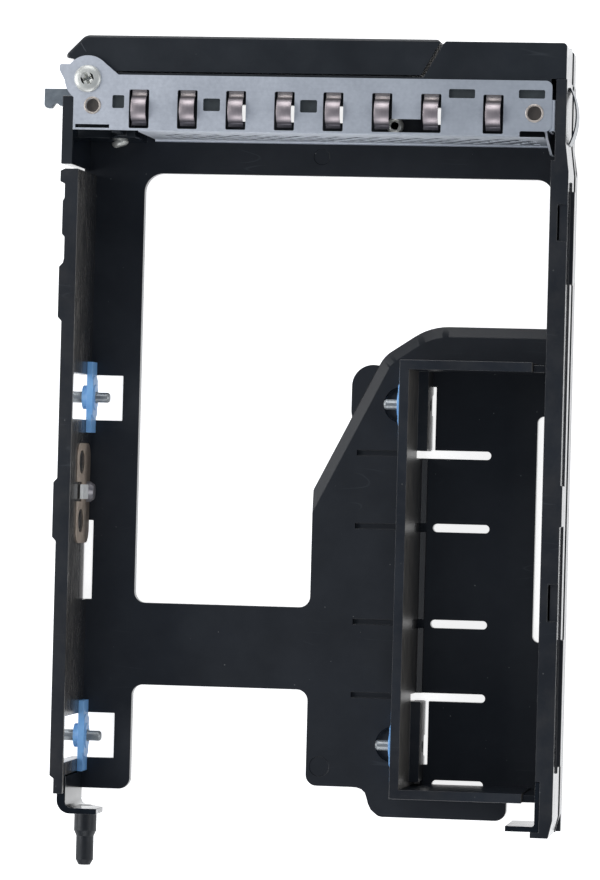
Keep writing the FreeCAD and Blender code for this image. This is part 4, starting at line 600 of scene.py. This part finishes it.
# Drawing thins the zinc, so the lip is warm and bright. Below the lip the neck is painted darker
# towards the bottom, as painted shade inside the hole.
neck_steel = blank_material("drawn_zinc_neck")
place = add(neck_steel, "ShaderNodeTexCoord")
height = add(neck_steel, "ShaderNodeSeparateXYZ", links={"Vector": place.outputs["Object"]})
depth = add(neck_steel, "ShaderNodeMapRange", {"From Min": 0.0254, "From Max": 0.0267},
            {"Value": height.outputs["Z"]})
tint = add(neck_steel, "ShaderNodeValToRGB", links={"Fac": depth.outputs["Result"]})
tint.color_ramp.elements[0].position = 0.1
tint.color_ramp.elements[0].color = linear("#37312d")
tint.color_ramp.elements[1].position = 0.95
tint.color_ramp.elements[1].color = linear("#c3bab2")
grime = add(neck_steel, "ShaderNodeTexNoise", {"Scale": 900, "Detail": 3},
            {"Vector": place.outputs["Object"]})
rough = add(neck_steel, "ShaderNodeMapRange", {"To Min": 0.32, "To Max": 0.5},
            {"Value": grime.outputs["Fac"]})
skin = add(neck_steel, "ShaderNodeBsdfPrincipled", {"Metallic": 0.6},
           {"Base Color": tint.outputs["Color"], "Roughness": rough.outputs["Result"]})
add(neck_steel, "ShaderNodeOutputMaterial", links={"Surface": skin.outputs["BSDF"]})
# The neck's wall stands 0.45 mm outside the drawn hole and 0.05 mm inside it.
neck_outside, neck_wall, neck_depth, neck_middle, lip_round = 0.00045, 0.0005, 0.0014, 0.02608, 0.0002
for label, x, y, hole in (("pivot", 0.0503, -0.0090, 0.00150), ("latch", -0.0483, -0.0087, 0.00160)):
    bpy.ops.mesh.primitive_cylinder_add(vertices=64, radius=hole + neck_outside, depth=neck_depth,
                                        location=(x, y, neck_middle))
    neck = bpy.context.object
    neck.name = f"threaded_neck_{label}"
    pick(neck, "FACE", lambda face: face.normal.z > 0.9)
    bpy.ops.mesh.delete(type="ONLY_FACE")
    bpy.ops.object.mode_set(mode="OBJECT")
    bpy.ops.object.transform_apply(location=True)
    neck.data.materials.append(neck_steel)
    worked(neck, "drawn_wall", "SOLIDIFY", thickness=neck_wall, offset=-1)
    worked(neck, "rolled_lip", "BEVEL", width=lip_round, segments=4, limit_method="ANGLE")
    bpy.ops.object.shade_smooth_by_angle(angle=math.radians(50))
    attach(neck, "tray")
    bpy.ops.object.select_all(action="DESELECT")


# ---- Contact fingers and side spring ----------------------------------------------------------
# Rolled stainless springs that earth the caddy. Each finger is one strip: a flat root, a sharp bend
# up into a shiny arch through the shield's window, and a flat foot that slides on the frame.

finger_steel = blank_material("rolled_stainless_fingers")
place = add(finger_steel, "ShaderNodeTexCoord")
along = add(finger_steel, "ShaderNodeSeparateXYZ", links={"Vector": place.outputs["Object"]})
# Satin grey over the root and the arch, with painted shade in the front bend and on the sliding foot, where
# the plate's edges cover them.
reach = add(finger_steel, "ShaderNodeMapRange", {"From Min": -0.013, "From Max": -0.004},
            {"Value": along.outputs["Y"]})
tint = add(finger_steel, "ShaderNodeValToRGB", links={"Fac": reach.outputs["Result"]})
tint.color_ramp.elements[0].color = linear("#aaa2a0")
tint.color_ramp.elements[1].color = linear("#2e2d30")
for spot, tone in ((0.15, "#aaa2a0"), (0.22, "#625d5f"), (0.31, "#b0a7aa"), (0.5, "#a0979a"),
                   (0.74, "#b2a9ad"), (0.82, "#67646a")):
    tint.color_ramp.elements.new(spot).color = linear(tone)
# Rolling lines run along the strip, 0.24 mm apart.
lined = add(finger_steel, "ShaderNodeMapping", {"Scale": (4200, 500, 500)},
            {"Vector": place.outputs["Object"]})
lined = add(finger_steel, "ShaderNodeTexNoise", {"Scale": 1, "Detail": 4},
            {"Vector": lined.outputs["Vector"]})
lines = add(finger_steel, "ShaderNodeMapRange", {"To Min": 0.82, "To Max": 1.14},
            {"Value": lined.outputs["Fac"]})
tint = add(finger_steel, "ShaderNodeVectorMath", {},
           {0: tint.outputs["Color"], 1: lines.outputs["Result"]}, operation="MULTIPLY")
rough = add(finger_steel, "ShaderNodeMapRange", {"To Min": 0.36, "To Max": 0.5},
            {"Value": lined.outputs["Fac"]})
skin = add(finger_steel, "ShaderNodeBsdfPrincipled", {"Metallic": 0.75},
           {"Base Color": tint.outputs["Vector"], "Roughness": rough.outputs["Result"]})
add(finger_steel, "ShaderNodeOutputMaterial", links={"Surface": skin.outputs["BSDF"]})
finger_half, finger_pitch, first_finger, finger_count = 0.00165, 0.01087, 0.0398, 8
last_step = 0.0029                  # how much further on the last finger stands
strip_height, root_middle, root_length, strip_thickness = 0.02587, -0.0130, 0.0029, 0.00022
# The finger's side view from its root to its foot, as places along and up.
run = [(-0.01155, strip_height), (-0.01125, 0.02615), (-0.0107, 0.02695), (-0.0100, 0.02748),
       (-0.0092, 0.02778), (-0.0084, 0.02788), (-0.0076, 0.02778), (-0.0068, 0.02748),
       (-0.0062, 0.02700), (-0.00580, 0.02635), (-0.00560, 0.02600), (-0.0053, strip_height),
       (-0.0047, strip_height)]
finger = sheet_blank(2 * finger_half, root_length, (first_finger, root_middle, strip_height))
finger.name = "finger_strip_sprung"
pick(finger, "EDGE", lambda edge: all(
    finger.data.vertices[corner].co.y > root_middle for corner in edge.vertices))
for here, after in zip(run, run[1:]):
    bpy.ops.mesh.extrude_edges_move(
        TRANSFORM_OT_translate={"value": (0, after[0] - here[0], after[1] - here[1])})
bpy.ops.object.mode_set(mode="OBJECT")
strips = [finger]
for number in range(1, finger_count):
    bpy.ops.object.duplicate()
    strip = bpy.context.object
    step = finger_pitch if number < finger_count - 1 else finger_pitch + last_step
    bpy.ops.object.mode_set(mode="EDIT")
    bpy.ops.mesh.select_all(action="SELECT")
    bpy.ops.transform.translate(value=(-step, 0, 0))
    bpy.ops.object.mode_set(mode="OBJECT")
    strips.append(strip)
# The comb that joins the roots lies under the plate, cut away beside the shield's slit.
comb_middle, comb_width, slit_start, slit_end = -0.0140, 0.0012, -0.0285, -0.0361
last_finger = first_finger - (finger_count - 1) * finger_pitch - last_step
for start, end in ((first_finger + finger_half, slit_start), (slit_end, last_finger - finger_half)):
    strips.append(sheet_blank(start - end, comb_width, ((start + end) / 2, comb_middle, strip_height)))
    bpy.ops.object.mode_set(mode="OBJECT")
for strip in strips:
    strip.select_set(True)
bpy.context.view_layer.objects.active = finger
bpy.ops.object.join()
finger.data.materials.append(finger_steel)
worked(finger, "sheet_gauge", "SOLIDIFY", thickness=strip_thickness, offset=0)
worked(finger, "deburred_edges", "BEVEL", width=0.00005, segments=2, limit_method="ANGLE",
       angle_limit=math.radians(60))
bpy.ops.object.shade_smooth_by_angle(angle=math.radians(42))
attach(finger, "tray")
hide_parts("finger_strip")
bpy.ops.object.select_all(action="DESELECT")

# Bright rolled leaf, darker than the fingers, with its rolling lines along it.
leaf_steel = worked_metal("bright_spring_leaf", deep="#5c6166", pale="#82878c", grain_scale=1500, cover=0.3,
                          gloss=0.28, spread=0.06, stretch=(1, 0.15, 1))
shade(leaf_steel, ["side_spring"])


# ---- Lever ------------------------------------------------------------------------------------
# The front of the caddy is a swinging lever, moulded in the same smooth black as the cap. A steel
# claw is pressed into its eye and levers the caddy out of the server; a torsion coil opens it.

broken_edges("lever_handle", "lever", cap_abs, 0.00018)
# The mould's two halves meet across the nose and leave a fine raised line there.
lever_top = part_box("lever_handle")[1][2]
seam_width, seam_length, seam_height = 0.00012, 0.0023, 0.0001
# The raised line is scuffed to a pale grey, so it shows as a hair on the black.
scuffed = worked_metal("scuffed_black_abs", deep="#3c4045", pale="#5a5e62", grain_scale=1500, cover=0.3,
                       gloss=0.4, spread=0.05, base=0.0)
bpy.ops.mesh.primitive_cube_add(size=1, location=(0, 0, 0))
seam = bpy.context.object
seam.name = "lever_parting_line"
bpy.ops.object.mode_set(mode="EDIT")
bpy.ops.mesh.select_all(action="SELECT")
bpy.ops.transform.resize(value=(seam_width, seam_length, seam_height))
bpy.ops.mesh.bevel(offset=0.00003, segments=2)
bpy.ops.object.mode_set(mode="OBJECT")
seam.rotation_euler = (0, 0, math.radians(32))
seam.location = (0.05275, -0.02187, lever_top)
bpy.ops.object.transform_apply(location=True, rotation=True)
seam.data.materials.append(scuffed)
bpy.ops.object.shade_smooth_by_angle(angle=math.radians(50))
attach(seam, "lever")
bpy.ops.object.select_all(action="DESELECT")

# Phosphated sheet: a dull mid grey with blotches.
claw_steel = worked_metal("phosphated_claw_sheet", deep="#7a8289", pale="#98a0a7", grain_scale=800,
                          cover=0.25, gloss=0.5, spread=0.08, base=0.75)
broken_edges("lever_claw", "lever", claw_steel, 0.0001)
shade(spring_wire, ["lever_spring"])


# ---- Screws -----------------------------------------------------------------------------------
# Headed steel screws with a cross recess, nickel plated. The large one is the lever's pivot; the
# two small ones hold the frame and the shield to the tray.

def pan_head_screw(name, place, radius, height, shank, length, facing="z"):
    """A domed head with a tapered cross recess on a plain shank; it faces up, or along Y."""
    bpy.ops.object.select_all(action="DESELECT")
    bpy.ops.mesh.primitive_cylinder_add(vertices=64, radius=radius, depth=0.4 * height,
                                        location=(0, 0, 0.2 * height))
    screw = bpy.context.object
    screw.name = name
    # The top is drawn in and raised in four steps, which round it into a dome.
    pick(screw, "FACE", lambda face: face.normal.z > 0.9)
    for step, rise in ((0.06, 0.22), (0.10, 0.18), (0.16, 0.12), (0.2, 0.06)):
        bpy.ops.mesh.inset(thickness=step * radius)
        bpy.ops.transform.translate(value=(0, 0, rise * height))
    # The shank is drawn down out of the head's underside.
    pick(screw, "FACE", lambda face: face.normal.z < -0.9)
    bpy.ops.mesh.inset(thickness=radius - shank)
    bpy.ops.mesh.extrude_region_move(TRANSFORM_OT_translate={"value": (0, 0, -length)})
    bpy.ops.object.mode_set(mode="OBJECT")
    # The punch for the recess: a cross of four wings that narrow towards the bottom.
    wings = []
    for turn in (0, 1):
        bpy.ops.object.select_all(action="DESELECT")
        bpy.ops.mesh.primitive_cube_add(size=1, location=(0, 0, height * 0.7))
        wing = bpy.context.object
        wing.scale = (radius * 1.15, radius * 0.32, height * 2.0) if turn else (
            radius * 0.32, radius * 1.15, height * 2.0)
        bpy.ops.object.transform_apply(location=True, scale=True)
        for corner in wing.data.vertices:
            if corner.co.z < height:
                corner.co.x *= 0.4
                corner.co.y *= 0.4
        wings.append(wing)
    for wing in wings:
        bpy.ops.object.select_all(action="DESELECT")
        bpy.context.view_layer.objects.active = screw
        screw.select_set(True)
        worked(screw, "cross_recess", "BOOLEAN", object=wing, operation="DIFFERENCE", solver="EXACT")
        bpy.data.objects.remove(wing)
    worked(screw, "worn_edges", "BEVEL", limit_method="ANGLE", angle_limit=math.radians(40), width=0.00005,
           segments=2)
    bpy.ops.object.shade_smooth_by_angle(angle=math.radians(50))
    if facing == "y":
        screw.rotation_euler = (math.radians(-90), 0, math.radians(20))
    else:
        screw.rotation_euler = (0, 0, math.radians(20))
    screw.location = place
    bpy.ops.object.transform_apply(location=True, rotation=True)
    screw.data.materials.append(nickel)
    bpy.ops.object.select_all(action="DESELECT")
    return screw


pivot_low, pivot_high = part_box("pivot_screw")
pivot_head, pivot_shank = 0.00105, 0.0015
pivot_seat = ((pivot_low[0] + pivot_high[0]) / 2, (pivot_low[1] + pivot_high[1]) / 2,
              pivot_high[2] - pivot_head)
pivot = pan_head_screw("pivot_screw_turned", pivot_seat, (pivot_high[0] - pivot_low[0]) / 2, pivot_head,
                       pivot_shank, pivot_seat[2] - pivot_low[2])
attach(pivot, "tray")
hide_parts("pivot_screw")

small_radius, small_head, small_shank = 0.00195, 0.0014, 0.00125
floor_screw = pan_head_screw("frame_screws_turned", (-0.0148, -0.0072, 0.0025), small_radius, small_head,
                             small_shank, length=0.0021)
corner_screw = pan_head_screw("corner_screw", (0.0474, -0.0024, 0.006), small_radius, small_head,
                              small_shank, length=0.0036, facing="y")
corner_screw.select_set(True)
floor_screw.select_set(True)
bpy.context.view_layer.objects.active = floor_screw
bpy.ops.object.join()
bpy.ops.object.select_all(action="DESELECT")
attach(floor_screw, "tray")
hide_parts("frame_screws")


# ---- Rear steel -------------------------------------------------------------------------------
# A folded bracket in the end of the pivot rail with the guide pin riveted into it, and a tab that
# closes the latch rail's end. Both are sheet steel with a thin black electrocoat.

# A thin, glossy black paint with a slight orange peel, about 0.4 mm across.
electrocoat = blank_material("black_electrocoat")
place = add(electrocoat, "ShaderNodeTexCoord")
cloud = add(electrocoat, "ShaderNodeTexNoise", {"Scale": 300, "Detail": 4},
            {"Vector": place.outputs["Object"]})
tint = add(electrocoat, "ShaderNodeValToRGB", links={"Fac": cloud.outputs["Fac"]})
tint.color_ramp.elements[0].position = 0.3
tint.color_ramp.elements[0].color = linear("#0b0f14")
tint.color_ramp.elements[1].position = 0.7
tint.color_ramp.elements[1].color = linear("#151a20")
peel = add(electrocoat, "ShaderNodeTexNoise", {"Scale": 2500, "Detail": 2},
           {"Vector": place.outputs["Object"]})
bump = add(electrocoat, "ShaderNodeBump", {"Strength": 0.12, "Distance": 0.00001},
           {"Height": peel.outputs["Fac"]})
rough = add(electrocoat, "ShaderNodeMapRange", {"To Min": 0.12, "To Max": 0.2},
            {"Value": cloud.outputs["Fac"]})
skin = add(electrocoat, "ShaderNodeBsdfPrincipled", {"IOR": 1.55},
           {"Base Color": tint.outputs["Color"], "Roughness": rough.outputs["Result"],
            "Normal": bump.outputs["Normal"]})
add(electrocoat, "ShaderNodeOutputMaterial", links={"Surface": skin.outputs["BSDF"]})
broken_edges("guide_bracket", "tray", electrocoat, 0.00012)
broken_edges("rear_tab", "tray", electrocoat, 0.0001)
# Oxide black over turned steel: nearly matt, and a little uneven.
oxide_black = worked_metal("oxide_black_pin", deep="#15181c", pale="#20242a", grain_scale=900, cover=0.3,
                           gloss=0.5, spread=0.08, base=0.3)
shade(oxide_black, ["guide_pin"])


# ---- Floor, lamps and camera ------------------------------------------------------------------
# A pale sheet under the caddy, and four soft lamps round it. The space overhead stays dim, as under
# a camera, so that glossy black faces that look up stay black.

paper_size, paper_top = 6, -0.0002
bpy.ops.mesh.primitive_plane_add(size=paper_size, location=(0, 0, paper_top))
paper = bpy.context.object
paper.name = "paper_floor"
sheet = blank_material("white_paper")
ray = add(sheet, "ShaderNodeLightPath")
seen = add(sheet, "ShaderNodeMath", {}, {0: ray.outputs["Is Camera Ray"], 1: ray.outputs["Is Glossy Ray"]},
           operation="MAXIMUM")
seen = add(sheet, "ShaderNodeMath", {}, {0: seen.outputs["Value"], 1: ray.outputs["Is Transmission Ray"]},
           operation="MAXIMUM")
shine = add(sheet, "ShaderNodeMath", {1: 0.85}, {0: seen.outputs["Value"]}, operation="MULTIPLY")
glow = add(sheet, "ShaderNodeEmission", {"Color": linear("#ffffff")}, {"Strength": shine.outputs["Value"]})
fibre = add(sheet, "ShaderNodeTexCoord")
fibre = add(sheet, "ShaderNodeTexNoise", {"Scale": 700, "Detail": 4}, {"Vector": fibre.outputs["Object"]})
tint = add(sheet, "ShaderNodeValToRGB", links={"Fac": fibre.outputs["Fac"]})
tint.color_ramp.elements[0].color = linear("#e9e9e9")
tint.color_ramp.elements[1].color = linear("#f2f2f2")
matte = add(sheet, "ShaderNodeBsdfDiffuse", {}, {"Color": tint.outputs["Color"]})
both = add(sheet, "ShaderNodeAddShader", {}, {0: glow.outputs["Emission"], 1: matte.outputs["BSDF"]})
add(sheet, "ShaderNodeOutputMaterial", links={"Surface": both.outputs["Shader"]})
paper.data.materials.append(sheet)

lamp_width, caddy_middle = 0.8, Vector((0, 0.07, 0))
for name, place, power in (
        ("lamp_left", (1.15, 0.0, 0.75), 12), ("lamp_right", (-1.15, 0.2, 0.75), 5.5),
        ("lamp_front", (0.1, -1.15, 0.75), 9), ("lamp_rear", (0.0, 1.2, 0.75), 6.5)):
    lamp = bpy.data.lights.new(name, "AREA")
    lamp.size = lamp_width
    lamp.energy = power
    holder = bpy.data.objects.new(name, lamp)
    holder.location = place
    holder.rotation_euler = (caddy_middle - Vector(place)).to_track_quat("-Z", "Y").to_euler()
    bpy.context.scene.collection.objects.link(holder)

world = bpy.data.worlds.new("studio")
world.use_nodes = True
sky = world.node_tree.nodes["Background"]
sky.inputs["Color"].default_value = linear("#c4d8f4")
sky.inputs["Strength"].default_value = 0.17
bpy.context.scene.world = world

lens = bpy.data.cameras.new("camera")
lens.lens = 193.79
lens.sensor_width = 36
lens.clip_start = 0.01
camera = bpy.data.objects.new("camera", lens)
camera.location = (-0.13905, 0.071996, 1.06354)
camera.rotation_euler = (math.radians(0.6224), math.radians(7.7203), math.radians(-178.5056))
bpy.context.scene.collection.objects.link(camera)
bpy.context.scene.camera = camera
bpy.context.scene.view_settings.view_transform = "Standard"
